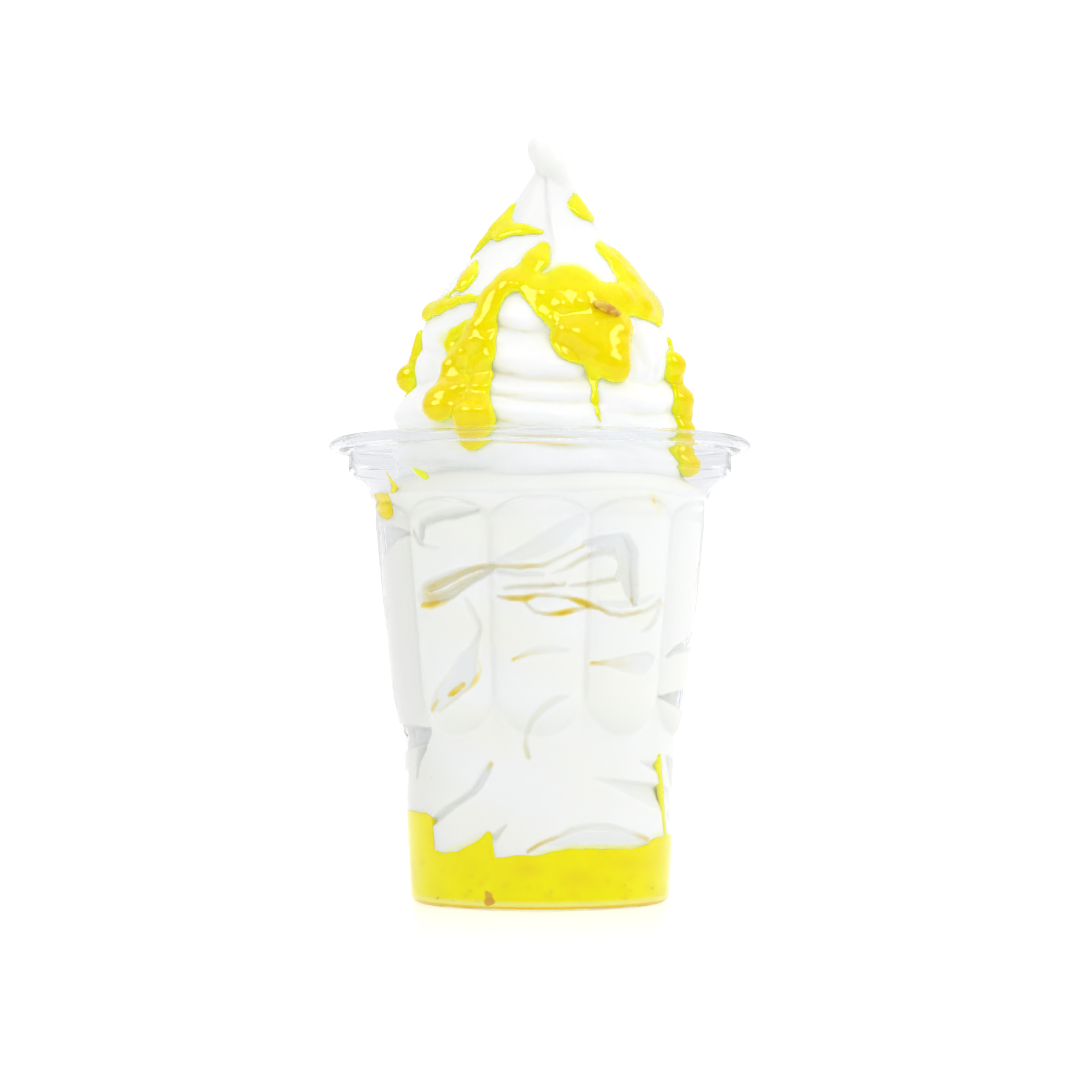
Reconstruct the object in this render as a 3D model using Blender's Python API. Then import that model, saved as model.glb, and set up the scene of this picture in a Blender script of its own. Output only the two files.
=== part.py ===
"""Soft serve sundae in its clear petal cup, with sauce under the ice cream and over the swirl.

Metres, +Z up. The origin is the centre of the cup's underside. Azimuth 0 faces -Y and grows towards +X.
The sizes below are in millimetres, and become metres when a mesh is made.
"""

import bisect
import math

import bmesh
import bpy
from mathutils import Matrix, Vector

MM = 0.001

# Cup: a thin clear cup with ten petals round its wall
PETALS = 10
PETAL_STEPS = 6
SEGMENTS = PETAL_STEPS * PETALS
WALL = 0.55
FOOT_OUTER = 28.9
FOOT_INNER = 26.2
FOOT_RECESS = 1.2
FLOOR_TOP = FOOT_RECESS + 0.9
CORNER_RADIUS = 1.6
LOWER_RADIUS = 30.0
STEP_HEIGHT = 38.9
STEP_RADIUS = 32.0
SHOULDER_HEIGHT = 94.0
SHOULDER_RADIUS = 39.4
PETAL_BOTTOM_HEIGHT = 43.0
PETAL_BOTTOM_RADIUS = 34.4
PETAL_RELIEF = 2.1
PETAL_HALF_ANGLE = 17.2
PETAL_END = 10.0
PETAL_TOP_END = 5.0
PETAL_ROWS = (STEP_HEIGHT, 40.4, 43.2, 48.6, 85.0, 88.6, 91.6, SHOULDER_HEIGHT)
NECK_RADIUS = 44.5
NECK_BOTTOM = 99.6
NECK_TOP = 103.4
RIM_RADIUS = 49.0
RIM_HEIGHT = 107.1
LEDGE = ((95.2, 0.5), (97.75, 3.3))

# Sauce under the ice cream: its level round the wall, and its peaks as azimuth, rise, reach to each side
GAP = 0.3
WALL_GAP = 0.5
SAUCE_LEVEL = 13.0
SAUCE_PEAKS = ((-76, 8.0, 22, 19), (-22, 5.2, 16, 4), (12, 1.2, 20, 22), (80, 3.4, 24, 30),
               (140, 5.6, 9, 22), (196, 2.6, 24, 16), (236, 4.4, 14, 10))
LEVEL_FADE_HEIGHT = 34.0

# Ice cream: outline of the swirl as height, radius, and shift of the middle towards +X
SWIRL = ((95.0, 37.0, 0.0), (99.0, 33.0, 0.0), (106.0, 33.0, -0.6), (112.0, 33.8, -0.5), (116.0, 32.3, 0.1),
         (120.0, 30.2, 1.3), (126.0, 29.3, 1.2), (132.5, 28.2, 0.7), (138.0, 26.4, 0.6), (143.0, 23.2, 0.8),
         (150.0, 17.4, 1.7), (156.5, 12.2, 1.2), (162.0, 9.0, 1.2), (167.0, 6.0, 1.8), (172.0, 4.1, 1.8),
         (175.5, 2.7, 1.2))
SWIRL_BASE = 92.0
APEX = (0.9, 177.0)
# Heights at azimuth 0 of the groove that climbs round the swirl, one for each turn
GROOVE_HEIGHTS = (93.0, 98.5, 104.0, 109.0, 114.0, 119.0, 130.5, 138.0, 149.0, 165.0)
GROOVE_DEPTH = 1.9
CUP_ROWS = (SAUCE_LEVEL + GAP, 20.0, 26.5, 33.0, 55.0, 62.0, 68.0, 72.0, 77.0)
SWIRL_ROW = 1.6
SWIRL_KEPT = 0.62
GROOVE_FADE = (134.0, 152.0)
SIDE_GROOVE = (-3, 163.0, 16, 11.0, 1.1)

# Hollows between ice cream and wall: azimuth, height, reach each way in degrees and mm, depth
HOLLOWS = ((-60, 33.5, 15, 8.5, 3.6), (66, 46.0, 11, 4.5, 3.0), (68, 25.5, 12, 6.0, 2.4), (82, 58.5, 9, 3.5, 2.2),
           (-82, 86.0, 11, 4.5, 2.6), (-35, 89.5, 13, 3.6, 2.4), (30, 76.5, 9, 7.0, 2.8), (-36, 70.5, 16, 2.8, 3.4),
           (2, 71.0, 26, 2.6, 2.4), (-28, 57.0, 5, 8.5, 2.2), (-40, 46.0, 7, 5.0, 2.4),
           (132, 70.0, 20, 4.0, 3.2), (168, 52.0, 8, 9.0, 2.6), (205, 77.0, 24, 3.0, 3.0), (226, 38.0, 13, 6.0, 3.2),
           (150, 30.0, 12, 5.0, 2.6), (110, 88.0, 12, 4.0, 2.6))

# Thick sauce on the swirl: strands of lumps, each as azimuth, height, half width, and lift off the surface
THICK_SAUCE = {
    "upper_drip": ((-64, 160.0, 1.2, 1.0), (-62, 155.4, 2.2, 1.3), (-34, 154.4, 1.3, 1.0), (-6, 153.8, 0.8, 0.7)),
    "upper_drip_tail": ((-62, 155.4, 2.0, 1.2), (-72, 151.8, 1.2, 1.0)),
    "teardrop": ((-63, 146.0, 1.3, 1.1), (-55, 142.4, 2.3, 1.8)),
    "left_arm": ((-33, 136.2, 1.2, 1.0), (-52, 137.8, 1.5, 1.3), (-70, 137.2, 2.1, 1.8), (-84, 136.8, 2.2, 2.0)),
    "crown": ((2, 149.2, 1.4, 1.0), (-9, 145.8, 2.4, 1.5), (-16, 142.6, 2.8, 1.9), (-26, 139.6, 3.0, 2.2)),
    "left_chain": ((-26, 139.6, 3.0, 2.2), (-30, 134.4, 3.3, 2.4), (-33, 129.2, 3.8, 2.7), (-35, 125.0, 3.6, 2.9),
                   (-40, 120.6, 4.2, 3.2), (-42, 115.4, 4.4, 3.8)),
    "front_chain": ((-30, 134.4, 3.3, 2.4), (-25, 128.0, 3.0, 2.4), (-25, 121.6, 3.2, 2.5), (-26, 116.6, 3.4, 2.8),
                    (-25, 111.4, 4.4, 3.3), (-25, 105.4, 2.8, 2.2)),
    "broad_band": ((-14, 142.0, 2.6, 1.6), (-3, 139.4, 4.2, 2.0), (12, 140.0, 5.2, 2.0), (26, 137.6, 5.2, 2.2),
                   (40, 137.4, 4.4, 2.2), (56, 138.2, 3.6, 2.2), (70, 137.0, 3.0, 2.0)),
    "band_edge": ((-6, 139.0, 2.4, 1.8), (3, 134.4, 2.6, 1.8), (9, 131.4, 2.2, 1.8)),
    "right_strand": ((52, 151.2, 2.0, 1.4), (57, 147.4, 2.4, 1.7), (61, 143.4, 2.8, 2.0), (66, 138.6, 3.2, 2.2),
                     (73, 133.4, 1.8, 1.6)),
    "front_lump": ((26, 134.6, 4.0, 2.4), (16, 128.8, 4.2, 3.0), (27, 127.4, 5.2, 3.2), (31, 122.2, 3.8, 3.0)),
    "thin_drip": ((25, 121.0, 1.6, 1.4), (25, 116.0, 1.0, 0.9), (26, 112.6, 0.8, 0.7)),
    "green_dab": ((50, 161.0, 1.9, 1.0), (54, 158.4, 1.4, 0.8)),
    "left_edge": ((-92, 131.0, 1.5, 2.2), (-94, 127.0, 2.2, 3.2), (-96, 122.0, 3.2, 5.2), (-88, 117.4, 1.4, 1.2)),
    "right_edge": ((86, 129.4, 1.3, 1.6), (88, 126.0, 1.3, 1.6), (90, 122.0, 3.1, 4.4), (91, 116.0, 2.8, 3.4),
                   (90, 110.6, 3.0, 3.2), (84, 104.4, 3.8, 3.4), (80, 102.4, 3.6, 2.8)),
    "back_band": ((70, 137.0, 3.0, 2.0), (92, 139.0, 3.6, 2.0), (114, 141.0, 4.0, 2.1), (138, 139.6, 4.6, 2.2),
                  (160, 137.0, 3.6, 2.2), (182, 138.4, 3.2, 2.0)),
    "back_chain": ((138, 139.6, 4.6, 2.2), (143, 132.6, 3.6, 2.6), (139, 126.4, 4.0, 2.8), (146, 120.4, 3.4, 2.8),
                   (143, 114.6, 4.2, 3.4)),
    "back_lump": ((182, 138.4, 3.2, 2.0), (188, 132.4, 4.2, 2.6), (200, 128.2, 4.6, 3.0), (196, 122.0, 3.0, 2.4),
                  (197, 115.6, 1.2, 1.0)),
    "back_drip": ((214, 156.0, 1.6, 1.1), (226, 151.0, 2.4, 1.6), (236, 146.0, 2.0, 1.4), (238, 139.4, 2.6, 1.9),
                  (233, 132.4, 3.4, 2.6), (238, 126.8, 2.6, 2.2)),
}
BALL_AXIS = (0.8, 0.5, 0.33)
BALL_TURN = 0.37
TIP_CURL = ((0.2, -1.2, 174.6, 2.5), (1.8, -3.0, 172.4, 2.9), (3.6, -3.6, 169.6, 2.4))


def smooth(value):
    """Eases 0..1, and holds outside it."""
    value = min(1.0, max(0.0, value))
    return value * value * (3.0 - 2.0 * value)


def turn_between(first, second):
    """Degrees from one azimuth to another, between -180 and 180."""
    return (first - second + 180.0) % 360.0 - 180.0


def read_table(table, height):
    """Values of a table's lines at a height, in even steps from line to line."""
    heights = [line[0] for line in table]
    if height <= heights[0]:
        return table[0][1:]
    if height >= heights[-1]:
        return table[-1][1:]
    upper = bisect.bisect_right(heights, height)
    low, high = table[upper - 1], table[upper]
    share = (height - low[0]) / (high[0] - low[0])
    return tuple(a + (b - a) * share for a, b in zip(low[1:], high[1:]))


# ---- cup -------------------------------------------------------------------------------------------------------

def petal_relief(azimuth, height):
    """How far a petal stands out: a long finger with a round lower end and a short round upper end."""
    pitch = 360.0 / PETALS
    across = abs((azimuth + pitch / 2) % pitch - pitch / 2) / PETAL_HALF_ANGLE
    below = (STEP_HEIGHT - 0.3 + PETAL_END - height) / PETAL_END
    above = (height - SHOULDER_HEIGHT + 2.0 + PETAL_TOP_END) / PETAL_TOP_END
    along = max(0.0, below, above)
    return PETAL_RELIEF * math.sqrt(max(0.0, 1.0 - across * across - along * along))


def wall_radius(azimuth, height):
    """Outer radius of the cup's wall from its corner up to its neck."""
    if height <= STEP_HEIGHT:
        share = max(0.0, height - CORNER_RADIUS) / (STEP_HEIGHT - CORNER_RADIUS)
        return LOWER_RADIUS + (STEP_RADIUS - LOWER_RADIUS) * share
    slope = (SHOULDER_RADIUS - PETAL_BOTTOM_RADIUS) / (SHOULDER_HEIGHT - PETAL_BOTTOM_HEIGHT)
    crest = PETAL_BOTTOM_RADIUS + slope * (height - PETAL_BOTTOM_HEIGHT)
    lift = smooth((height - STEP_HEIGHT) / (PETAL_END - 0.3))
    base = STEP_RADIUS + (crest - PETAL_RELIEF - STEP_RADIUS) * lift
    if height <= SHOULDER_HEIGHT:
        top = smooth((height - SHOULDER_HEIGHT + PETAL_TOP_END) / PETAL_TOP_END)
        return base + petal_relief(azimuth, height) + top * PETAL_RELIEF * 0.8
    ledge = ((SHOULDER_HEIGHT, 0.0),) + LEDGE + ((NECK_BOTTOM, NECK_RADIUS - SHOULDER_RADIUS),)
    return SHOULDER_RADIUS + read_table(ledge, height)[0]


def inner_radius(azimuth, height):
    """Radius of the cup's inner face."""
    return wall_radius(azimuth, height) - WALL


# ---- sauce and ice cream ---------------------------------------------------------------------------------------

def sauce_edge(azimuth):
    """Height of the lower sauce where it meets the wall."""
    level = SAUCE_LEVEL
    for middle, rise, before, after in SAUCE_PEAKS:
        away = turn_between(azimuth, middle)
        reach = before if away < 0 else after
        level += rise * smooth(1.0 - abs(away) / reach)
    return level


def sauce_top(azimuth, share):
    """Height of the lower sauce at a share of the way from the middle to the wall."""
    return SAUCE_LEVEL + (sauce_edge(azimuth) - SAUCE_LEVEL) * share ** 4


def groove(azimuth, height):
    """Depth of the groove between the turns of the swirl, which climbs once round for each turn."""
    turn = bisect.bisect_right(GROOVE_HEIGHTS, height) - 1
    if turn < 0 or turn + 1 >= len(GROOVE_HEIGHTS):
        return 0.0
    low, high = GROOVE_HEIGHTS[turn], GROOVE_HEIGHTS[turn + 1]
    place = (turn + (height - low) / (high - low) + turn_between(azimuth, 0.0) / 360.0) % 1.0
    rope = math.sqrt(max(0.0, 1.0 - (2.0 * place - 1.0) ** 2))
    fade = 1.0 - smooth((height - GROOVE_FADE[0]) / (GROOVE_FADE[1] - GROOVE_FADE[0]))
    start = smooth((height - SWIRL_BASE) / 5.0)
    return GROOVE_DEPTH * (1.0 - rope) * fade * start


def dent(azimuth, height, place):
    """Depth of one rounded dent."""
    middle, level, reach, rise, depth = place
    away = (turn_between(azimuth, middle) / reach) ** 2 + ((height - level) / rise) ** 2
    return depth * smooth(1.0 - away)


def cream_radius(azimuth, height):
    """Radius of the ice cream: against the wall in the cup, and free above it."""
    in_cup = inner_radius(azimuth, min(height, SHOULDER_HEIGHT)) - WALL_GAP
    in_cup -= max(dent(azimuth, height, place) for place in HOLLOWS)
    free = read_table(SWIRL, height)[0] - groove(azimuth, height) - dent(azimuth, height, SIDE_GROOVE)
    share = smooth((height - SWIRL_BASE) / 5.0)
    return min(in_cup, in_cup + (free - in_cup) * share) if height < SHOULDER_HEIGHT + 6.0 else free


def cream_shift(height):
    """Shift of the swirl's middle towards +X."""
    return read_table(SWIRL, height)[1] * smooth((height - SWIRL_BASE) / 10.0)


def on_cream(azimuth, height, lift=0.0):
    """Point on the ice cream, or that far outside it, in millimetres."""
    radius = cream_radius(azimuth, height) + lift
    turn = math.radians(azimuth)
    return Vector((cream_shift(height) + radius * math.sin(turn), -radius * math.cos(turn), height))


def thick_sauce_links():
    """Each stretch of thick sauce between two lumps, as place, half width and lift at both ends."""
    links = []
    for strand in THICK_SAUCE.values():
        lumps = [(on_cream(azimuth, height), width, lift) for azimuth, height, width, lift in strand]
        links += list(zip(lumps, lumps[1:]))
    return links


def sauce_lift(point, links):
    """How far the thick sauce stands off the ice cream at a point of its surface."""
    lift = 0.0
    for (start, start_width, start_lift), (end, end_width, end_lift) in links:
        along = end - start
        share = min(1.0, max(0.0, (point - start).dot(along) / along.length_squared))
        width = start_width + (end_width - start_width) * share
        away = (point - start - along * share).length / width
        if away < 1.0:
            height = start_lift + (end_lift - start_lift) * share
            lift = max(lift, height * math.sqrt(1.0 - away * away))
    return lift


# ---- meshes ----------------------------------------------------------------------------------------------------

def join_rings(work, low, high):
    """Faces between two rings, split alike on both sides of each petal."""
    for step in range(len(low)):
        after = (step + 1) % len(low)
        rising = high[step].co.z > low[step].co.z
        corners = (low[step], low[after], high[after], high[step])
        if rising == (step % PETAL_STEPS < PETAL_STEPS // 2):
            corners = corners[1:] + corners[:1]
        work.faces.new((corners[0], corners[1], corners[2]))
        work.faces.new((corners[0], corners[2], corners[3]))


def join_to_finer_ring(work, low, high):
    """Faces from a ring to one above it with twice the points."""
    for step in range(len(low)):
        after = (step + 1) % len(low)
        start, middle, end = (high[(2 * step + count) % len(high)] for count in range(3))
        work.faces.new((low[step], low[after], middle))
        work.faces.new((low[step], middle, start))
        work.faces.new((low[after], end, middle))


def skin(name, start, rings, end, surface):
    """Closed body from a start point, rings of points from there on, and an end point."""
    mesh = bpy.data.meshes.new(name)
    work = bmesh.new()
    first = work.verts.new([MM * value for value in start])
    rows = [[work.verts.new([MM * value for value in point]) for point in points] for points in rings]
    last = work.verts.new([MM * value for value in end])
    for low, high in zip(rows, rows[1:]):
        if len(low) == len(high):
            join_rings(work, low, high)
        else:
            join_to_finer_ring(work, low, high)
    for pole, row in ((first, rows[0]), (last, rows[-1])):
        for here, after in zip(row, row[1:] + row[:1]):
            work.faces.new((pole, here, after))
    bmesh.ops.recalc_face_normals(work, faces=work.faces)
    work.to_mesh(mesh)
    work.free()
    mesh.materials.append(surface)
    body = bpy.data.objects.new(name, mesh)
    bpy.context.scene.collection.objects.link(body)
    return body


def ring(radius, height):
    """Ring of points whose radius and height may be numbers or functions of azimuth."""
    points = []
    for step in range(SEGMENTS):
        azimuth = step * 360.0 / SEGMENTS
        turn = math.radians(azimuth)
        reach = radius(azimuth) if callable(radius) else radius
        level = height(azimuth) if callable(height) else height
        points.append((reach * math.sin(turn), -reach * math.cos(turn), level))
    return points


def finish(name, colour, roughness, transmission=0.0):
    """Plain surface finish."""
    made = bpy.data.materials.new(name)
    made.use_nodes = True
    shader = made.node_tree.nodes["Principled BSDF"]
    shader.inputs["Base Color"].default_value = (*colour, 1.0)
    shader.inputs["Roughness"].default_value = roughness
    shader.inputs["Transmission Weight"].default_value = transmission
    return made


def smooth_shading(body, angle):
    """Smooth shading with sharp edges past an angle in degrees."""
    body.data.shade_smooth()
    body.data.set_sharp_from_angle(angle=math.radians(angle))


def make_cup():
    """Cup: underside, foot, petal wall, neck, rolled rim, inner face and floor as one body."""
    rings = [ring(FOOT_INNER - 0.6, FOOT_RECESS), ring(FOOT_INNER, 0.0), ring(FOOT_OUTER, 0.0),
             ring(LOWER_RADIUS - 0.3, 0.6), ring(LOWER_RADIUS, CORNER_RADIUS)]
    wall_heights = PETAL_ROWS + (LEDGE[0][0], LEDGE[1][0])
    rings += [ring(lambda azimuth, z=height: wall_radius(azimuth, z), height) for height in wall_heights]
    rings += [ring(NECK_RADIUS, NECK_BOTTOM), ring(NECK_RADIUS, NECK_TOP)]
    rings += [ring(RIM_RADIUS - 1.0, NECK_TOP + 0.8), ring(RIM_RADIUS, RIM_HEIGHT - 1.9),
              ring(RIM_RADIUS - 0.8, RIM_HEIGHT - 0.7), ring(RIM_RADIUS - 2.8, RIM_HEIGHT),
              ring(NECK_RADIUS - WALL + 0.9, RIM_HEIGHT - 0.4), ring(NECK_RADIUS - WALL, RIM_HEIGHT - 1.6)]
    rings += [ring(NECK_RADIUS - WALL, NECK_BOTTOM + 0.2)]
    inner_heights = (LEDGE[1][0] + 0.3, LEDGE[0][0] + 0.4) + PETAL_ROWS[::-1]
    rings += [ring(lambda azimuth, z=height: inner_radius(azimuth, z), height) for height in inner_heights]
    rings += [ring(LOWER_RADIUS - WALL, FLOOR_TOP + 1.2), ring(LOWER_RADIUS - WALL - 1.2, FLOOR_TOP)]
    clear = finish("clear_plastic", (0.94, 0.95, 0.96), 0.06, transmission=0.9)
    cup = skin("cup", (0, 0, FOOT_RECESS), rings, (0, 0, FLOOR_TOP), clear)
    smooth_shading(cup, 32)
    return cup


def make_lower_sauce():
    """Sauce under the ice cream: fills the floor of the cup up to its uneven edge."""
    floor = FLOOR_TOP + GAP
    outer = LOWER_RADIUS - WALL - GAP
    rings = [ring(outer - 1.4, floor), ring(outer, floor + 1.3)]
    rings += [ring(lambda azimuth: inner_radius(azimuth, sauce_edge(azimuth)) - GAP, sauce_edge)]
    rings += [ring(lambda azimuth, part=share: part * (inner_radius(azimuth, sauce_edge(azimuth)) - GAP),
                   lambda azimuth, part=share: sauce_top(azimuth, part)) for share in (0.86, 0.6)]
    yellow = finish("yellow_sauce", (0.88, 0.76, 0.02), 0.25)
    sauce = skin("sauce_base", (0, 0, floor), rings, (0, 0, SAUCE_LEVEL), yellow)
    smooth_shading(sauce, 40)
    return sauce


def ball_points(centre, radius, turn):
    """Points of a small ball, turned so that no two balls at one place have faces in common."""
    work = bmesh.new()
    tilt = Matrix.Rotation(turn, 4, Vector(BALL_AXIS))
    bmesh.ops.create_icosphere(work, subdivisions=2, radius=radius, matrix=tilt)
    points = [vert.co + Vector(centre) for vert in work.verts]
    work.free()
    return points


def link(name, ends, group, surface):
    """One rounded link between two balls, each given as centre and radius."""
    work = bmesh.new()
    for count, (centre, radius) in enumerate(ends):
        for point in ball_points(centre, radius, BALL_TURN * (len(group.objects) + count)):
            work.verts.new(point * MM)
    hull = bmesh.ops.convex_hull(work, input=work.verts)
    inside = [item for item in hull["geom_interior"] if isinstance(item, bmesh.types.BMVert)]
    bmesh.ops.delete(work, geom=inside, context="VERTS")
    bmesh.ops.recalc_face_normals(work, faces=work.faces)
    mesh = bpy.data.meshes.new(name)
    work.to_mesh(mesh)
    work.free()
    mesh.materials.append(surface)
    group.objects.link(bpy.data.objects.new(name, mesh))


def make_ice_cream():
    """Ice cream from the sauce up to the curled tip, with the thick sauce on it as one body."""
    white = finish("soft_serve", (0.93, 0.92, 0.88), 0.45)
    rings = [ring(lambda azimuth, part=share: part * (inner_radius(azimuth, sauce_edge(azimuth)) - WALL_GAP),
                  lambda azimuth, part=share: sauce_top(azimuth, part) + GAP) for share in (0.6, 0.86)]
    rings += [wall_ring(height) for height in sorted(CUP_ROWS + PETAL_ROWS)]
    links = thick_sauce_links()
    rows = round((APEX[1] - SHOULDER_HEIGHT) / SWIRL_ROW)
    rings += [swirl_ring(SHOULDER_HEIGHT + SWIRL_ROW * count, links) for count in range(1, rows)]
    cream = skin("ice_cream", (0, 0, SAUCE_LEVEL + GAP), rings, (APEX[0], 0, APEX[1]), white)
    group = bpy.data.collections.new("curl")
    bpy.context.scene.collection.children.link(group)
    curl = [((x, y, z), radius) for x, y, z, radius in TIP_CURL]
    for count, ends in enumerate(zip(curl, curl[1:])):
        link(f"tip_curl_{count}", ends, group, white)
    join_group(cream, group)
    swirl = cream.vertex_groups.new(name="swirl")
    high = (SHOULDER_HEIGHT + 0.5 * SWIRL_ROW) * MM
    swirl.add([vert.index for vert in cream.data.vertices if vert.co.z > high], 1.0, "REPLACE")
    thin = cream.modifiers.new("thin", "DECIMATE")
    thin.ratio = SWIRL_KEPT
    thin.vertex_group = swirl.name
    smooth_shading(cream, 50)
    return cream


def wall_ring(height):
    """Ring of the ice cream against the wall; low rings follow the sauce's uneven edge."""
    points = []
    for step in range(SEGMENTS):
        azimuth = step * 360.0 / SEGMENTS
        bottom = sauce_edge(azimuth) + GAP
        share = (height - SAUCE_LEVEL - GAP) / (LEVEL_FADE_HEIGHT - SAUCE_LEVEL - GAP)
        level = height if share >= 1.0 else bottom + share * (LEVEL_FADE_HEIGHT - bottom)
        points.append(on_cream(azimuth, level))
    return points


def swirl_ring(height, links):
    """Ring of the swirl with the thick sauce on it, with twice the points of a ring in the cup."""
    points = []
    for step in range(2 * SEGMENTS):
        azimuth = step * 180.0 / SEGMENTS
        lift = sauce_lift(on_cream(azimuth, height), links)
        points.append(on_cream(azimuth, height, lift))
    return points


def join_group(body, group):
    """Joins a group's pieces into a body, and clears the group away."""
    union = body.modifiers.new("union", "BOOLEAN")
    union.operation = "UNION"
    union.solver = "EXACT"
    union.operand_type = "COLLECTION"
    union.collection = group
    bpy.context.view_layer.objects.active = body
    bpy.ops.object.modifier_apply(modifier=union.name)
    for piece in list(group.objects):
        bpy.data.objects.remove(piece, do_unlink=True)
    bpy.data.collections.remove(group)


for old in list(bpy.data.objects):
    bpy.data.objects.remove(old, do_unlink=True)
make_cup()
make_lower_sauce()
make_ice_cream()
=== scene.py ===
"""Looks of the soft serve sundae in its clear petal cup.

Sizes in the tables are millimetres and degrees, and meshes are in metres. Azimuth 0 faces -Y and grows
towards +X, so a place on the cup or the swirl is given as azimuth and height.
"""

import functools
import math
import random

import bmesh
import bpy
import numpy as np
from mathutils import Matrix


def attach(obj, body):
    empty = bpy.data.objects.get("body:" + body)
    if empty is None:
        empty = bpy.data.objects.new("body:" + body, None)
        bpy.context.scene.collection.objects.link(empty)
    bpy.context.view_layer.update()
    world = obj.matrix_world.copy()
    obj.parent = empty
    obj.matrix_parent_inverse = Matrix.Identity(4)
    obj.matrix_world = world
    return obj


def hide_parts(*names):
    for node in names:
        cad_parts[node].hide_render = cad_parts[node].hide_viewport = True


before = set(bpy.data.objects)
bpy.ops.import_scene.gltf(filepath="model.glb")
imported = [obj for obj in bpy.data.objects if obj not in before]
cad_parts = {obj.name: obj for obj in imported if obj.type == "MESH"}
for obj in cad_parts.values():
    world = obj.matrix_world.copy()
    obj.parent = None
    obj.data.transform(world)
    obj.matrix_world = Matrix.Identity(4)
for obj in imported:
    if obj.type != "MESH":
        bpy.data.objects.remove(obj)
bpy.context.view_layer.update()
MM = 0.001

# Cup
PETALS = 10
CUP_STEPS = 360
WALL = 0.55
FOOT_RECESS = 1.2
FOOT_INNER = 26.2
FLAT_MIDDLE = 12.0
CORNER_RADIUS = 1.6
LOWER_RADIUS = 30.0
STEP_HEIGHT = 38.9
STEP_RADIUS = 32.0
SHOULDER_HEIGHT = 94.0
SHOULDER_RADIUS = 39.4
# Petals: where their crest is read below, how far they stand out, half their width in degrees, the length of
# their round ends, and how far these stay from the step and the shoulder
PETAL_BOTTOM_HEIGHT = 43.0
PETAL_BOTTOM_RADIUS = 34.4
PETAL_RELIEF = 2.1
PETAL_HALF_ANGLE = 17.2
PETAL_END = 10.0
PETAL_TOP_END = 5.0
PETAL_DIP = 0.3
PETAL_TOP_GAP = 2.0
# Ledge as height and distance out from the shoulder
LEDGE = ((94.0, 0.0), (95.2, 0.5), (97.75, 3.3), (99.6, 5.1))
# Bead at the ledge as distance out from the shoulder and height, and the gap in the wall's own rows for it
LEDGE_BEAD = ((4.2, 98.6), (4.62, 98.8), (4.88, 99.0), (5.0, 99.25), (4.98, 99.5))
BEAD_GAP = (98.5, 99.7)
NECK_RADIUS = 44.5
NECK_TOP = 103.4
RIM_RADIUS = 49.0
RIM_HEIGHT = 107.1

# Sauce under the ice cream: its edge round the wall as azimuth and height, read in straight stretches
SAUCE_EDGE = ((-180, 15.2), (-168, 14.2), (-158, 15.4), (-146, 13), (-138, 13.2), (-126, 17.6),
    (-118, 16.4), (-108, 13.6), (-98, 17.2), (-88, 21), (-76, 21.3), (-58, 21.1), (-54, 20.8),
    (-52.5, 19.8), (-52.1, 17.6), (-51.85, 15), (-51.6, 12.8), (-46, 12.5), (-38, 12.8), (-31, 14.6),
    (-25, 16.3), (-22.5, 17.6), (-20.6, 17.3), (-20.2, 14.7), (-19.4, 11.9), (-14.5, 12), (-9.2, 12.5),
    (-2.3, 12.3), (2.8, 12.9), (10.5, 13.8), (22, 13.8), (37, 13.4), (49.5, 13.5), (53.2, 14), (56, 15.2),
    (64, 15.5), (72, 15.8), (84, 15.4), (100, 13.8), (118, 13.4), (129, 15.4), (136, 18.2), (146, 18),
    (150, 14.4), (162, 13.6), (172, 14.8), (180, 15.2))
# Darker blotches in it: azimuth, height, reach along and up, strength
BLOTCHES = ((-61, 10.1, 0.7, 0.5, 0.7), (-46.6, 8.5, 0.9, 0.5, 0.5), (-39.8, 8.9, 0.5, 0.5, 0.6),
    (-25.8, 6.1, 0.6, 0.6, 0.7), (-22.9, 7.5, 0.4, 0.4, 0.8), (-5.8, 9.4, 4, 1.8, 0.3),
    (-14.7, 5.8, 0.9, 0.5, 0.5), (3.7, 3.4, 0.8, 0.4, 0.6), (-5, 5.4, 0.5, 0.4, 0.7),
    (-0.6, 5.4, 0.5, 0.4, 0.6), (13.8, 3.8, 1, 0.5, 0.5), (30.3, 6.4, 0.5, 0.6, 0.7),
    (39.8, 2.4, 0.8, 0.4, 0.6), (42.4, 6.8, 0.5, 0.7, 0.7), (45.4, 7.6, 0.4, 0.4, 0.8),
    (53.5, 4.4, 0.6, 0.6, 0.6), (73.2, 3.2, 0.7, 0.7, 0.6), (17.8, 7.1, 5, 2, 0.25),
    (-33.6, 3.2, 0.8, 0.4, 0.6), (-28.5, 1.9, 0.6, 0.4, 0.6), (-58.2, 1.9, 0.6, 0.4, 0.6),
    (-74, 6, 3, 2.4, 0.3), (40, 10, 5, 1.4, 0.2), (90, 8, 4, 2, 0.3), (130, 6, 5, 2.4, 0.3),
    (170, 9, 4, 2, 0.25), (215, 6, 5, 2.2, 0.3), (255, 9, 4, 2, 0.3), (112, 4, 0.8, 0.5, 0.6),
    (148, 7.6, 0.8, 0.6, 0.6), (190, 5, 0.7, 0.5, 0.6), (236, 8, 0.8, 0.6, 0.6))
# Lower sauce: its points round, the levels of its floor and of the middle of its top; then how far it and the
# ice cream reach into the wall
SAUCE_STEPS = 900
SAUCE_FLOOR = 1.6
SAUCE_MIDDLE = 12.0
SAUCE_REACH = 0.3
CREAM_REACH = 0.17

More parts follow.
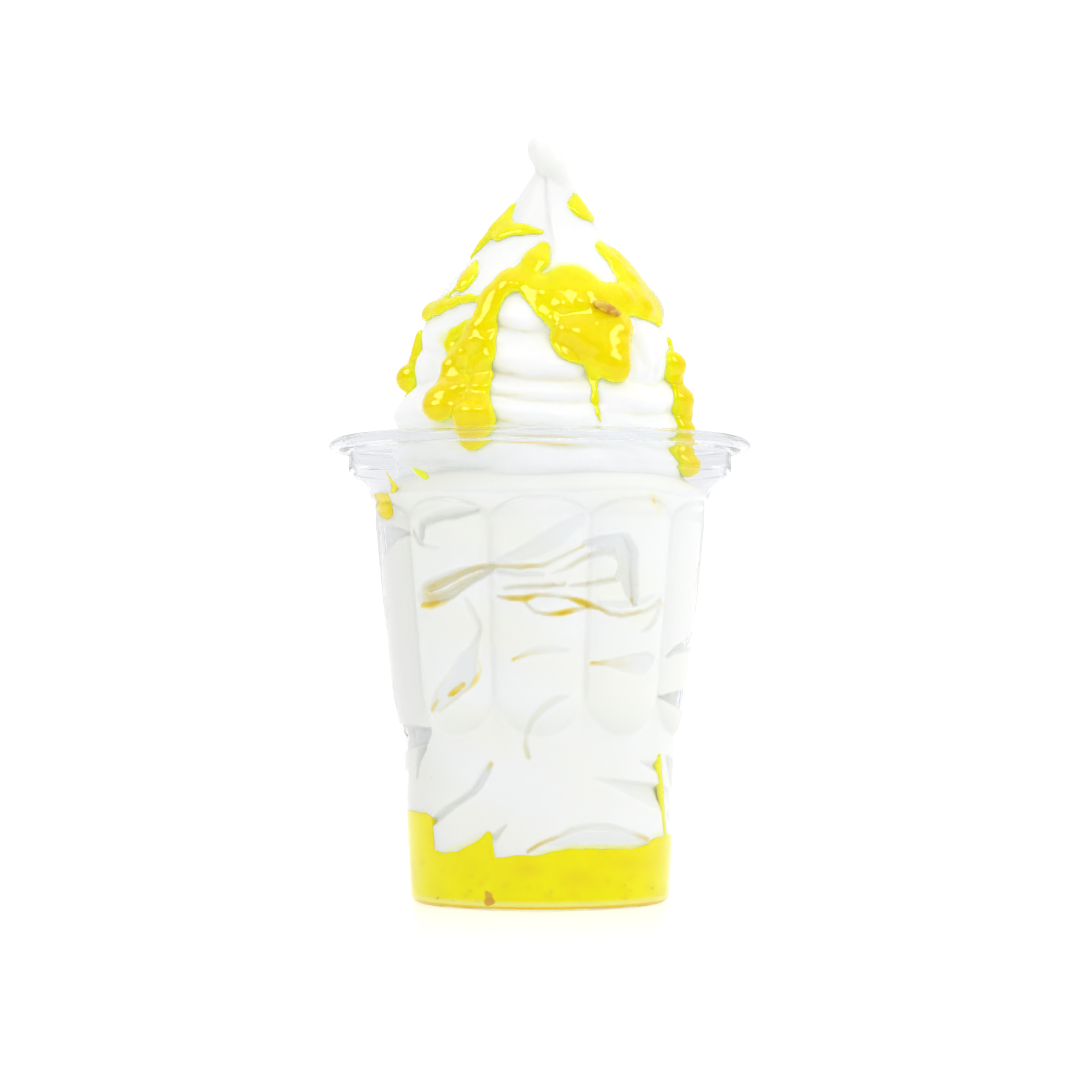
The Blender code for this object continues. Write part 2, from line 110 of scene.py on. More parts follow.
# Swirl: outline as height, radius and shift of the middle towards +X
SWIRL = ((92, 37, 0), (96, 34.6, 0), (99, 33.2, 0), (106, 33.2, -0.6), (112, 33.9, -0.5), (116, 32.6, 0.1),
    (120, 30.8, 1.2), (126, 29.8, 1.2), (132.5, 28.6, 0.8), (138, 26.4, 0.8), (143, 22.6, 1.2),
    (148.6, 18.3, 1.8), (151.2, 16.5, 1.7), (156.3, 12.3, 1.5), (160.4, 9.3, 1.9), (165, 6.3, 2),
    (168, 4.7, 2.5), (170.5, 3.2, 2.6), (172.5, 2.6, 2), (175, 1.8, 1), (177.2, 0.2, 0.5))
# Curl at the tip: a chain of balls, each as x, y, height and radius
TIP_CURL = ((0.5, -0.8, 174.8, 3.5), (1.6, -2.1, 172.7, 3.65), (3, -3.2, 170.2, 3.3), (4.2, -3.5, 168, 2.5),
    (5.1, -3.3, 166, 1.5))

# Creases between the folds of the swirl: each place is azimuth, height, depth, width of the fold below it
CREASES = {
    "lobe": ((-34, 131.5, 0.8, 4), (-24, 131, 1.7, 4.5), (-10, 130.3, 2, 5), (0, 129.7, 1.9, 5),
        (8, 127.6, 1.2, 4.5), (20, 125, 0.6, 4)),
    "second": ((-40, 121.2, 1, 4), (-24, 120.6, 2, 4.5), (-17, 119.5, 2.6, 5), (1, 118.9, 2.6, 5.2),
        (13, 118.4, 2.3, 5), (22, 118, 1.3, 4.2), (30, 117.6, 0.5, 3.6)),
    "third": ((-38, 116.2, 0.8, 3.4), (-20, 115.2, 1.7, 3.8), (-1, 114.2, 2.1, 4), (14, 113.4, 1.9, 4),
        (22, 112.8, 1, 3.4), (32, 112.4, 0.5, 3)),
    "fourth": ((-40, 109.8, 0.8, 3.6), (-20, 109.4, 1.8, 4), (-1, 108.8, 2, 4), (8, 108.6, 1.5, 3.8),
        (16, 108, 0.5, 3)),
    "neck": ((-30, 106.6, 0.9, 3.6), (-9, 105.4, 1.9, 4.2), (5, 103.8, 2.2, 4.4), (16, 103.2, 2, 4.2),
        (26, 103, 0.9, 3.6), (38, 102.6, 0.4, 3)),
    "neck_left": ((-78, 101.4, 0.7, 3.4), (-58, 100.6, 1.5, 3.8), (-38, 99.4, 1.6, 4), (-24, 99, 0.8, 3.6)),
    "left_low": ((-150, 108.6, 1.6, 5), (-120, 108.8, 2, 5), (-92, 108.4, 1.9, 5), (-70, 108.8, 1.4, 4.6),
        (-52, 109.6, 0.8, 4), (-42, 110.6, 0.4, 3.4)),
    "left_high": ((-150, 120.2, 1.8, 5.4), (-120, 119.4, 2.2, 5.6), (-92, 118.8, 2.1, 5.6),
        (-74, 119.4, 1.7, 5), (-60, 119.2, 1.3, 4.4), (-46, 119.8, 0.6, 3.6)),
    "left_top": ((-150, 131.6, 1.4, 5), (-112, 130.4, 1.7, 5), (-84, 128.2, 1.2, 4.6), (-62, 127, 0.9, 4.4),
        (-48, 126.6, 0.4, 4)),
    "right_high": ((34, 118.4, 0.5, 3.6), (42, 119, 1.6, 4.6), (50, 118.8, 2.1, 5), (64, 119.8, 2.2, 5.2),
        (80, 121, 2, 5.2), (104, 121.8, 2.1, 5.4), (130, 121.2, 2.2, 5.4), (156, 120, 2, 5.4),
        (180, 119.2, 1.9, 5.4), (210, 120.2, 1.8, 5.4)),
    "right_low": ((30, 110.9, 0.7, 3.8), (42, 111.4, 1.5, 4.4), (54, 112.4, 1.8, 4.8), (72, 112.6, 1.9, 5),
        (96, 111, 2, 5), (124, 109.8, 2.1, 5), (152, 109.6, 2, 5), (180, 109.2, 1.8, 5),
        (210, 108.6, 1.6, 5)),
    "right_top": ((78, 133.6, 0.5, 4.4), (100, 134, 1.3, 5), (126, 133, 1.7, 5), (156, 131.8, 1.8, 5.2),
        (180, 131.6, 1.7, 5.2), (210, 131.6, 1.4, 5)),
    "right_neck": ((40, 104.8, 0.4, 3.4), (60, 104.6, 1.3, 4), (90, 103.6, 1.8, 4.4), (130, 102, 1.9, 4.6),
        (170, 101.2, 1.9, 4.6), (210, 100.8, 1.8, 4.6), (250, 101, 1.4, 4.2), (282, 101.4, 0.7, 3.4)),
}
# Upright creases of the swirl: each place is azimuth, height, depth, width to each side
UPRIGHTS = {
    "drip_groove": ((21, 121.5, 0.5, 1.8), (22, 117.6, 1.1, 2), (23, 113.4, 1.1, 2), (24.5, 109, 0.5, 1.8)),
    "notch": ((53, 127.6, 0.2, 1.8), (56, 124.6, 1.3, 2), (57.5, 121.6, 1.6, 2), (58, 119.6, 0.8, 2)),
    "lobe_side": ((40, 133.5, 0.4, 2.4), (40, 128, 1.2, 2.8), (39, 122.5, 1.2, 2.8), (40, 118.6, 0.5, 2.4)),
    "fold_end": ((9, 128.5, 0.9, 2.6), (14, 124.8, 1.3, 2.6), (19, 120, 1.2, 2.6)),
    "nozzle_back": ((120, 168, 0.4, 1.6), (132, 160, 0.8, 2.2), (136, 150, 0.9, 3), (140, 142, 0.3, 3)),
    "nozzle_side": ((-118, 166, 0.4, 1.6), (-124, 158, 0.8, 2.4), (-122, 149, 0.9, 3), (-116, 141, 0.3, 3)),
}
# Ridges of the nozzle's pull on the cone: the surface steps in to the left of each and comes back out
# further left. The places are as in the upright creases.
RIDGES = {
    "front_ridge": ((-12, 168.5, 0.5, 2.2), (-6, 165, 1, 3), (0, 160, 1.3, 4.4), (2, 155, 1.4, 6),
        (3, 150.5, 1.2, 7.4), (3, 146, 0.5, 7)),
    "right_ridge": ((70, 160, 0.3, 3), (64, 154, 0.6, 4), (58, 149, 0.5, 4)),
    "back_ridge": ((150, 166, 0.6, 2.6), (160, 158, 1.1, 5), (168, 150, 1.2, 7), (172, 143, 0.4, 7)),
}
# Rounded lobes that stand out of the swirl: azimuth, height, reach along and up in millimetres, height
LOBES = ((-10.5, 133.6, 6.4, 4.4, 1.9), (-7, 123.6, 11, 4.4, 1.3), (9, 121.8, 6.5, 3.4, 0.9),
    (0, 116.2, 14, 2.8, 0.7), (2, 111.2, 14, 2.6, 0.6), (54, 128.6, 5.2, 7.4, 1.6), (58, 122.8, 5, 4, 0.5),
    (52, 115.8, 13, 4.4, 1.2), (52, 110.2, 11, 2.4, 0.7), (-60, 130.5, 6, 4.8, 1),
    (-66, 122.4, 6.4, 5.6, 0.9), (-64, 113.4, 11, 5.2, 1.4), (-30, 102, 9, 3, 0.8),
    (10, 100.6, 13, 2.6, 0.8), (60, 100.8, 12, 3, 0.8), (-84, 103.6, 12, 3.4, 0.8),
    (118, 127.4, 13, 6, 0.8), (168, 126, 12, 6, 0.9), (214, 125.6, 13, 6, 0.8), (102, 116.4, 13, 5, 0.7),
    (150, 114.8, 14, 5, 0.8), (200, 114.4, 13, 5, 0.7))
# How far the folds hang, and the heights between which that fades out
DROOP = 0.55
DROOP_FADE = (132.0, 142.0)

# Thick sauce on the swirl: strands of lumps, each as azimuth, height, half width, and lift off the surface
THICK_SAUCE = {
    "upper_drip": ((-66, 160.4, 1.5, 1.1), (-62, 156.2, 2.7, 1.5), (-46, 154.5, 2.1, 1.3),
        (-24, 154.4, 1.2, 1), (-6, 153.8, 0.7, 0.7)),
    "upper_drip_tail": ((-62, 156.2, 2.5, 1.4), (-70, 152.4, 1.7, 1.2), (-76, 149.4, 0.8, 0.8)),
    "teardrop": ((-58, 147, 0.8, 0.9), (-54, 144.6, 1.8, 1.5), (-50.5, 142.6, 2.4, 1.9),
        (-49, 141.6, 1.8, 1.6)),
    "thread": ((-54, 141.6, 0.6, 0.7), (-59, 139.4, 0.42, 0.6), (-70, 137.4, 0.5, 0.6)),
    "left_arm": ((-31, 137.2, 0.9, 0.9), (-41, 137.8, 0.9, 1), (-50, 137.2, 1.2, 1.2),
        (-60, 136.5, 1.7, 1.7), (-72, 136.2, 2.1, 2), (-84, 136.4, 1.9, 1.9)),
    "crown": ((-3, 149.8, 1.6, 1), (-7, 146.8, 2.7, 1.7), (-11, 144.2, 2.1, 1.4), (-15, 142, 2.4, 1.7)),
    "arch": ((-10, 141.2, 1.9, 1.6), (-20, 141.4, 2.9, 2.5), (-25.5, 138, 2.7, 2.5),
        (-27, 134.4, 2.6, 2.2)),
    "left_chain": ((-27, 134.4, 2.6, 2.2), (-30.5, 129, 3.7, 2.6), (-37, 125.4, 2.8, 2.3),
        (-43, 122.4, 2.4, 2.2), (-42, 119, 3.2, 2.7), (-40, 114.5, 5.2, 3.9)),
    "twist": ((-38, 131.6, 1.1, 0.9), (-45, 129.4, 1.3, 1), (-47.5, 127.2, 1.2, 1.1),
        (-44, 124.8, 1.3, 1.3)),
    "front_chain": ((-28, 128.6, 2.9, 2.2), (-26, 124.4, 2.1, 1.8), (-30, 121.2, 2.5, 1.9),
        (-26, 117.4, 2.3, 1.9), (-25, 114.2, 2.6, 2.2)),
    "front_ball": ((-25, 113.2, 2.6, 2.4), (-25, 109.8, 4.4, 3.8), (-25.5, 106.4, 3.5, 3.1),
        (-25.5, 104.6, 2, 2)),
    "broad_band": ((-12, 141.2, 1.6, 1.3), (-5, 139.6, 2.6, 1.5), (4, 137.6, 3.9, 1.7),
        (16, 137.6, 4.2, 1.8), (29, 137, 3.7, 1.9), (42, 137.6, 3.5, 1.9), (56, 137.2, 3.8, 1.9),
        (67, 134.8, 2.4, 1.5)),
    "upper_band": ((2, 140.4, 1.6, 0.9), (9, 141.4, 2.2, 1.1), (16, 141.9, 2.7, 1.2), (22, 141.2, 2.5, 1.2),
        (28, 139, 2, 1.2)),
    "band_edge": ((-5, 138, 2, 1.7), (-1, 134.6, 1.5, 1.4), (4, 132, 1.5, 1.4), (8, 130.6, 1.8, 1.6)),
    "right_strand": ((52, 150.6, 1.4, 0.7), (47, 149.4, 1.6, 0.7), (57, 148, 2.1, 0.9),
        (59, 145.8, 3.4, 1.2), (58, 143.4, 3.8, 1.4), (59, 141, 4.2, 1.7)),
    "right_outer": ((68, 148.4, 1.6, 0.8), (72, 145, 2.6, 1), (74, 141.4, 2.8, 1.1), (72, 137.8, 3, 1.3),
        (72, 134.4, 1.6, 1.2)),
    "front_lump": ((28, 134.4, 3.2, 2.2), (36, 130.6, 3.4, 2.6), (33, 126.4, 3.8, 3),
        (30.5, 122.4, 4.3, 3.3)),
    "lump_left": ((26, 131.4, 3.4, 2.4), (13, 127.3, 4.9, 3.5), (21, 125.6, 3.8, 2.9), (30, 122.8, 4, 3.1)),
    "thin_drip": ((21.5, 121, 1.6, 1.5), (22, 118, 0.8, 1), (23, 113.9, 0.75, 0.9), (24, 110.9, 0.4, 0.6),
        (25, 109, 0.25, 0.4)),
    "green_dab": ((62, 163.4, 0.8, 0.6), (57, 161.8, 1.5, 0.8), (62, 160, 1.7, 0.8), (44, 159.6, 1.6, 0.8),
        (66, 158.8, 1.1, 0.7)),
    "left_edge": ((-89, 131.4, 1.2, 1.6), (-93, 127.2, 2, 2.6), (-96, 124.4, 1.7, 2.4),
        (-92, 121.4, 3.2, 4.4), (-90, 117.8, 1.3, 1.4)),
    "right_edge": ((82, 129.6, 1, 1.1), (81, 126.6, 0.9, 1), (75, 123.4, 3.4, 3.4), (78, 119.8, 2.5, 3),
        (78, 116, 3.4, 3.8), (81, 112.8, 2.7, 3.2), (79, 109.6, 3.3, 3.2), (77, 106.4, 2.4, 2.8),
        (77, 103.3, 3.8, 3.8)),
    "back_band": ((70, 137, 2.6, 1.4), (92, 139, 3.6, 1.7), (114, 141, 4, 2.1), (138, 139.6, 4.6, 2.2),
        (160, 137, 3.6, 2.2), (182, 138.4, 3.2, 2)),
    "back_chain": ((138, 139.6, 4.6, 2.2), (143, 132.6, 3.6, 2.6), (139, 126.4, 4, 2.8),
        (146, 120.4, 3.4, 2.8), (143, 114.6, 4.2, 3.4)),
    "back_lump": ((182, 138.4, 3.2, 2), (188, 132.4, 4.2, 2.6), (200, 128.2, 4.6, 3), (196, 122, 3, 2.4),
        (197, 115.6, 1.2, 1)),
    "back_drip": ((214, 156, 1.6, 1.1), (226, 151, 2.4, 1.6), (236, 146, 2, 1.4), (238, 139.4, 2.6, 1.9),
        (233, 132.4, 3.4, 2.6), (238, 126.8, 2.6, 2.2)),
}
# Round lumps in the thick sauce: azimuth, height, radius, and how far the middle stands off the swirl
BEADS = ((-20, 141.4, 2.4, 0.7), (-24, 138.9, 1.5, 1.4), (-30, 130.2, 2.8, 0.9), (-33, 127.4, 1.8, 1.3),
    (-27, 132.6, 1.5, 1.2), (-38, 125, 1.4, 1.3), (-44, 122.2, 1.7, 1.3), (-40, 114.6, 4.9, 0.7),
    (-44, 118.4, 1.7, 1.4), (-36, 118.6, 1.5, 1.3), (-27, 117.6, 1.9, 1), (-24, 119.4, 1.3, 0.9),
    (-25, 110.4, 4.8, 0.7), (-27.5, 114.4, 1.5, 1.7), (-23, 113.8, 1.4, 1.8), (-26, 108, 2.2, 1.9),
    (-7, 146.9, 1.7, 0.5), (-13, 141, 1.2, 1), (-3, 138.6, 1.3, 1), (8, 135.6, 2.3, 0.5),
    (4, 132.2, 1.3, 0.8), (17, 136.2, 1.9, 0.7), (12, 138.9, 1.8, 0.4), (24, 138.6, 1.7, 0.5),
    (-35, 117, 2.6, 1), (-33, 113.8, 2.2, 1.2), (57, 136.8, 2.7, 0.5), (44, 138.2, 2.1, 0.5),
    (11, 128, 3.3, 0.8), (8, 129.7, 1.5, 1.9), (17, 126.4, 2.6, 1.1), (31, 122.2, 3.6, 0.8),
    (37, 130.2, 2.1, 1.4), (32, 126.6, 2.4, 1.2), (24, 131.2, 1.7, 1.1), (53, 147.4, 1.7, 0.4),
    (57, 143.4, 2, 0.6), (-62, 156.2, 1.8, 0.4), (-50, 142.4, 1.6, 0.8), (-74, 136.2, 1.9, 0.6),
    (74, 123.4, 3.3, 0.8), (77, 115.6, 3.5, 0.9), (80, 109.8, 2.8, 0.8), (77, 103.6, 3.3, 1.2),
    (76, 101.6, 3.9, 1.5), (-25.5, 105.8, 3.1, 0.9), (-92, 121.4, 3, 1.4), (-93, 127, 1.7, 0.7),
    (143, 126.4, 3, 0.6), (141, 133, 2.4, 0.8), (146, 120, 2.6, 0.8), (143, 114.8, 3.4, 0.8),
    (190, 131, 3, 0.7), (199, 127, 3.2, 0.8), (184, 135, 2, 0.6), (236, 132, 2.6, 0.7),
    (237, 127.4, 2.2, 0.7), (150, 138.6, 2.6, 0.5), (112, 140.6, 2.4, 0.5))
# How far the sauce sinks into the ice cream
SAUCE_SINK = 0.8
# Value of the sauce's field where there is none
SAUCE_OUTSIDE = 3.0
# Size of the grid cells of the swirl and its sauce
NET_CELL = 0.5

# Marks of the folds against the wall: kind, strength of the shade painted into the hollow, then places as
# azimuth, height, half width and depth. A pocket is a flat gap with crisp sides, a crease a rounded one, and
# a dip a soft one. A lip steps in below its line and an eave above it. A press puts the ice cream back
# against the wall.
WALL_MARKS = (
    ("pocket", 0.28, ((-47.6, 70.3, 2.1, 0.7), (-44, 70.7, 2.6, 1.9), (-41.2, 71, 3, 2.6),
        (-33.9, 72.3, 3, 2.4), (-27.5, 74.2, 2.3, 2), (-22.6, 75.2, 1.7, 1.5), (-16.6, 76.6, 0.8, 1))),
    ("press", 0, ((-45, 70.4, 0.35, 0), (-36, 71.6, 0.5, 0), (-27, 74.3, 0.5, 0), (-20, 76, 0.3, 0))),
    ("lip", 0.05, ((-18, 77.4, 0.6, 0.3), (-14.9, 78.2, 1.6, 0.7), (-8.4, 79.9, 3.4, 1),
        (-2.1, 82.2, 5.2, 1), (4.1, 84.7, 6, 0.8), (10.2, 87, 5, 0.4))),
    ("crease", 0.1, ((-18, 77.2, 0.5, 0.9), (-13.3, 76.6, 0.6, 1.1), (-6.9, 76.4, 0.7, 1.2),
        (1, 76.8, 0.6, 1), (9.7, 79.5, 0.4, 0.6), (15.6, 81.2, 0.4, 0.5))),
    ("crease", 0.2, ((-15, 75.4, 0.4, 0.7), (-6.9, 74.7, 0.5, 0.9), (1, 74.8, 0.4, 0.6))),
    ("crease", 0.3, ((-12.7, 71.8, 0.6, 0.7), (-7, 72.1, 0.7, 1.1), (1, 72.2, 0.8, 1.2),
        (8.2, 72.8, 0.7, 1.2))),
    ("crease", 0.1, ((-14.8, 70, 0.5, 0.7), (-10.3, 69.5, 0.6, 1), (-5.4, 69.5, 0.6, 1.2),
        (-0.6, 70.3, 0.5, 0.9))),
    ("pocket", 0.26, ((15.6, 81.7, 0.4, 0.5), (21.8, 82.1, 1.3, 1.1), (28.8, 82, 2.2, 1.8),
        (31.8, 79.1, 2.4, 2.4), (32, 75.5, 2.3, 2.8), (33.6, 71.9, 1.8, 2.6), (35.8, 68.3, 0.6, 1.8))),
    ("press", 0, ((6, 73.4, 1, 0), (13.8, 75.1, 1.7, 0), (18.7, 76.4, 1.9, 0), (24.9, 76.9, 1.9, 0))),
    ("crease", 0.12, ((4.2, 75.1, 0.4, 0.4), (9, 76, 0.6, 0.8), (13.7, 77.9, 0.7, 1.1),
        (18.6, 79.2, 0.8, 1.3), (23.6, 80, 0.8, 1.4), (28, 79, 0.8, 1.6), (29.6, 76.9, 0.8, 1.6),
        (27.6, 74, 0.8, 1.5), (22.4, 73.3, 0.7, 1.2), (16.4, 72.6, 0.6, 1), (10.7, 72.2, 0.5, 0.7))),
    ("crease", 0.1, ((-0.6, 70.3, 0.5, 0.8), (5.9, 70, 0.5, 0.8), (10.8, 69.5, 0.6, 1),
        (14.1, 68.8, 0.6, 1.1), (18.4, 68, 0.6, 1.1), (21.5, 67.4, 0.5, 0.9))),
    ("crease", 0.1, ((-5.8, 69, 0.4, 0.5), (-2.2, 66.7, 0.5, 0.8), (2.7, 65.9, 0.5, 0.8),
        (9.2, 66.4, 0.6, 1), (14.2, 67.2, 0.6, 1), (19.3, 67.9, 0.5, 0.9))),
    ("crease", 0.1, ((21.5, 67.5, 0.5, 0.8), (25.6, 66.2, 0.6, 1), (30.3, 65.7, 0.7, 1.1),
        (36.3, 66.3, 0.6, 1), (41.6, 66.8, 0.6, 1), (45.6, 67.9, 0.7, 1), (49.3, 69.7, 0.6, 0.7))),
    ("dip", 0.1, ((22, 68.6, 0.8, 0.4), (30, 68, 1.6, 0.6), (38, 68.8, 1.4, 0.6), (44, 70, 1, 0.4))),
    ("crease", 0.3, ((39.5, 62.3, 0.5, 0.4), (42.8, 62.9, 0.8, 0.8), (45.6, 64.3, 0.9, 1),
        (48.3, 66.6, 0.9, 1), (49, 69, 0.8, 0.9))),
    ("pocket", 0.5, ((-44.8, 83.6, 0.9, 1.6), (-44.3, 85.7, 1.1, 1.8), (-41.8, 86.8, 0.9, 1.6),
        (-35, 87.6, 0.7, 1.4), (-27.7, 88, 0.6, 1.2), (-21.8, 89, 0.4, 0.7))),
    ("eave", 0.32, ((-44, 86.4, 1.6, 0.9), (-35, 87.6, 3, 1.2), (-27.7, 88, 2.6, 1), (-22, 89, 1, 0.5))),
    ("eave", 0.2, ((-50, 84.4, 1, 0.8), (-46.6, 82, 1.3, 0.7), (-42.7, 81.1, 1.2, 0.5),
        (-37, 80.8, 0.8, 0.3))),
    ("dip", 0.1, ((-27.5, 69.6, 0.6, 0.5), (-24.8, 66.5, 1.2, 0.8), (-22.6, 63.6, 1, 0.9))),
    ("pocket", 0.2, ((-22.4, 62.6, 0.4, 0.7), (-24.7, 59.1, 0.9, 0.9), (-27.8, 55.5, 2.4, 1.1),
        (-29.9, 52.4, 3, 1.2), (-35.1, 49.5, 2.9, 1.3), (-41, 47, 2.2, 1), (-46, 45, 1.2, 0.5))),
    ("dip", 0.1, ((-9.4, 56.2, 0.6, 0.3), (-6.4, 57, 1, 0.5), (-2.2, 57.9, 1.5, 0.7), (4.4, 58.2, 1.5, 0.6),
        (10.3, 58, 1, 0.3))),
    ("dip", 0.04, ((20.1, 55.1, 0.5, 0.4), (24.6, 55.2, 0.9, 0.7), (29.5, 54.9, 1.8, 0.9),
        (34.6, 54.8, 2.8, 1.1), (41.2, 54.7, 3, 1), (46, 55.4, 1.6, 0.6))),
    ("crease", 0.3, ((20.1, 55.2, 0.3, 0.3), (27.4, 55.9, 0.4, 0.5), (36.4, 57, 0.5, 0.7),
        (43.2, 57.1, 0.7, 0.7), (47.3, 56.2, 0.6, 0.5))),
    ("crease", 0.1, ((10.6, 48, 0.5, 0.3), (6.3, 47.3, 0.9, 0.5), (1.1, 45.2, 0.9, 0.6),
        (-3.2, 42.7, 0.8, 0.6), (-5.5, 39.6, 0.7, 0.6), (-6.1, 37, 0.7, 0.6), (-4.8, 34.4, 0.8, 0.7))),
    ("dip", 0, ((2.8, 14.7, 0.5, 0.3), (9.6, 15.2, 1.2, 0.6), (18.4, 16, 2.2, 0.9), (29.7, 15.8, 2.4, 1),
        (40.4, 15, 2, 0.9), (52.1, 14.1, 1, 0.6))),
    ("crease", 0.12, ((-4.9, 13.4, 0.5, 0.8), (-1.5, 14.7, 0.5, 0.8), (2.8, 15.7, 0.5, 0.8),
        (8.7, 16.8, 0.6, 0.9), (13, 18, 0.8, 1), (21, 18.8, 0.9, 1), (29.5, 18.5, 0.9, 1),
        (36.8, 17.7, 0.8, 0.9), (45.1, 16.5, 0.7, 0.8), (53.4, 15.3, 0.5, 0.6))),
    ("pocket", 0.34, ((-20.6, 32.5, 0.5, 0.7), (-22.6, 30.9, 0.9, 1.1), (-25.6, 28.6, 1, 1.3),
        (-28.5, 26.7, 0.8, 1.3), (-33.6, 24.9, 0.6, 1.2), (-39.1, 23.4, 0.7, 1.3), (-46.4, 21.1, 0.9, 1.5),
        (-51.8, 19.5, 0.9, 1.5))),
    ("pocket", 0.5, ((-19.2, 16.6, 0.9, 0.8), (-16.5, 18.1, 0.5, 0.8), (-13.8, 19.4, 0.15, 0.3))),
    ("lip", 0.16, ((20, 30, 0.5, 0.1), (30.8, 29.2, 2, 0.7), (41.5, 28.3, 4, 1.2), (56.3, 27.2, 6, 1.8),
        (66, 26.4, 6, 1.8))),
    ("dip", 0.3, ((46, 33.2, 0.4, 0.4), (54, 32, 1.4, 1.2), (61, 31.4, 2, 1))),
    ("pocket", 1, ((-52.5, 39.4, 1, 3), (-60, 38.6, 2.2, 3.4), (-76, 38, 2.8, 3.4), (-92, 37, 3.6, 3.4))),
    ("pocket", 1, ((-54.5, 38.8, 1.4, 3), (-58, 36.6, 2, 3.4), (-60.2, 34.4, 1.3, 3),
        (-62.7, 31.6, 0.8, 2.4), (-63.7, 29.4, 0.5, 1.4))),
    ("pocket", 0.35, ((-74, 30, 0.8, 1), (-84, 27, 3, 2), (-96, 26, 3, 2))),
    ("pocket", 0.75, ((-54.6, 84.4, 0.3, 1.2), (-60, 84.6, 1.3, 2.4), (-68, 83.8, 2.8, 3),
        (-78, 82.6, 4.4, 3.4), (-92, 82, 4.8, 3.4))),
    ("pocket", 0.6, ((-76, 70, 0.4, 1.6), (-74.6, 67, 0.9, 2.2), (-76, 63.4, 0.4, 1.6))),
    ("pocket", 0.5, ((-75, 50.6, 0.3, 1.2), (-73.6, 47.4, 0.6, 1.8), (-75, 44.8, 0.3, 1.2))),
    ("pocket", 0.5, ((76, 78, 0.4, 1.6), (75, 73, 0.9, 2.2), (75.4, 68, 0.8, 2), (76.4, 64.6, 0.4, 1.4))),
    ("pocket", 0.55, ((57.3, 56.7, 0.25, 0.7), (61, 58, 0.6, 1.2), (70, 59, 1.3, 2), (80, 60.8, 2.2, 2.8),
        (94, 62, 2.6, 3.2))),
    ("pocket", 0.8, ((55.4, 47.5, 0.25, 1), (64, 47.1, 1.3, 2.4), (74, 46.7, 2.5, 3.2), (88, 46, 3.2, 3.4),
        (98, 46, 2.4, 3))),
    ("pocket", 0.6, ((67, 33.6, 0.6, 1.2), (74, 30.6, 2.2, 2.6), (84, 25, 3.4, 3.4), (79, 19.6, 2, 2.8),
        (72, 20.4, 0.4, 1))),
    ("pocket", 0.8, ((-104, 62, 2, 2.6), (-118, 66, 4, 3.4), (-134, 67, 3, 3), (-146, 64, 1, 1.4))),
    ("crease", 0.3, ((104, 72, 0.8, 1.2), (120, 70.4, 1.4, 2), (138, 69.6, 1.8, 2.4),
        (156, 71.4, 0.9, 1.4))),
    ("pocket", 0.6, ((164, 60, 0.8, 1.4), (168, 54, 2.6, 2.6), (172, 46, 3, 3), (166, 40, 1.2, 2))),
    ("crease", 0.3, ((180, 79, 0.7, 1), (196, 76.8, 1.6, 2.2), (212, 77.4, 1.9, 2.6), (228, 80, 0.8, 1.2))),
    ("lip", 0.1, ((110, 90, 3, 0.5), (128, 87, 4.5, 0.9), (150, 86, 4, 0.8), (166, 88, 2, 0.4))),
    ("pocket", 0.9, ((214, 41, 1.4, 2), (226, 38, 4.6, 3.2), (238, 34, 3, 2.8), (246, 30, 1, 1.4))),
    ("crease", 0.2, ((128, 33, 0.7, 0.8), (144, 30, 1.6, 1.8), (158, 27.4, 1.4, 1.6),
        (172, 22.4, 0.7, 0.8))),
)
# Share of the depth in the table that the marks get
MARK_DEPTH = 0.8
# Distance, in half widths, that stands for any place far from a line
FAR = 9.0
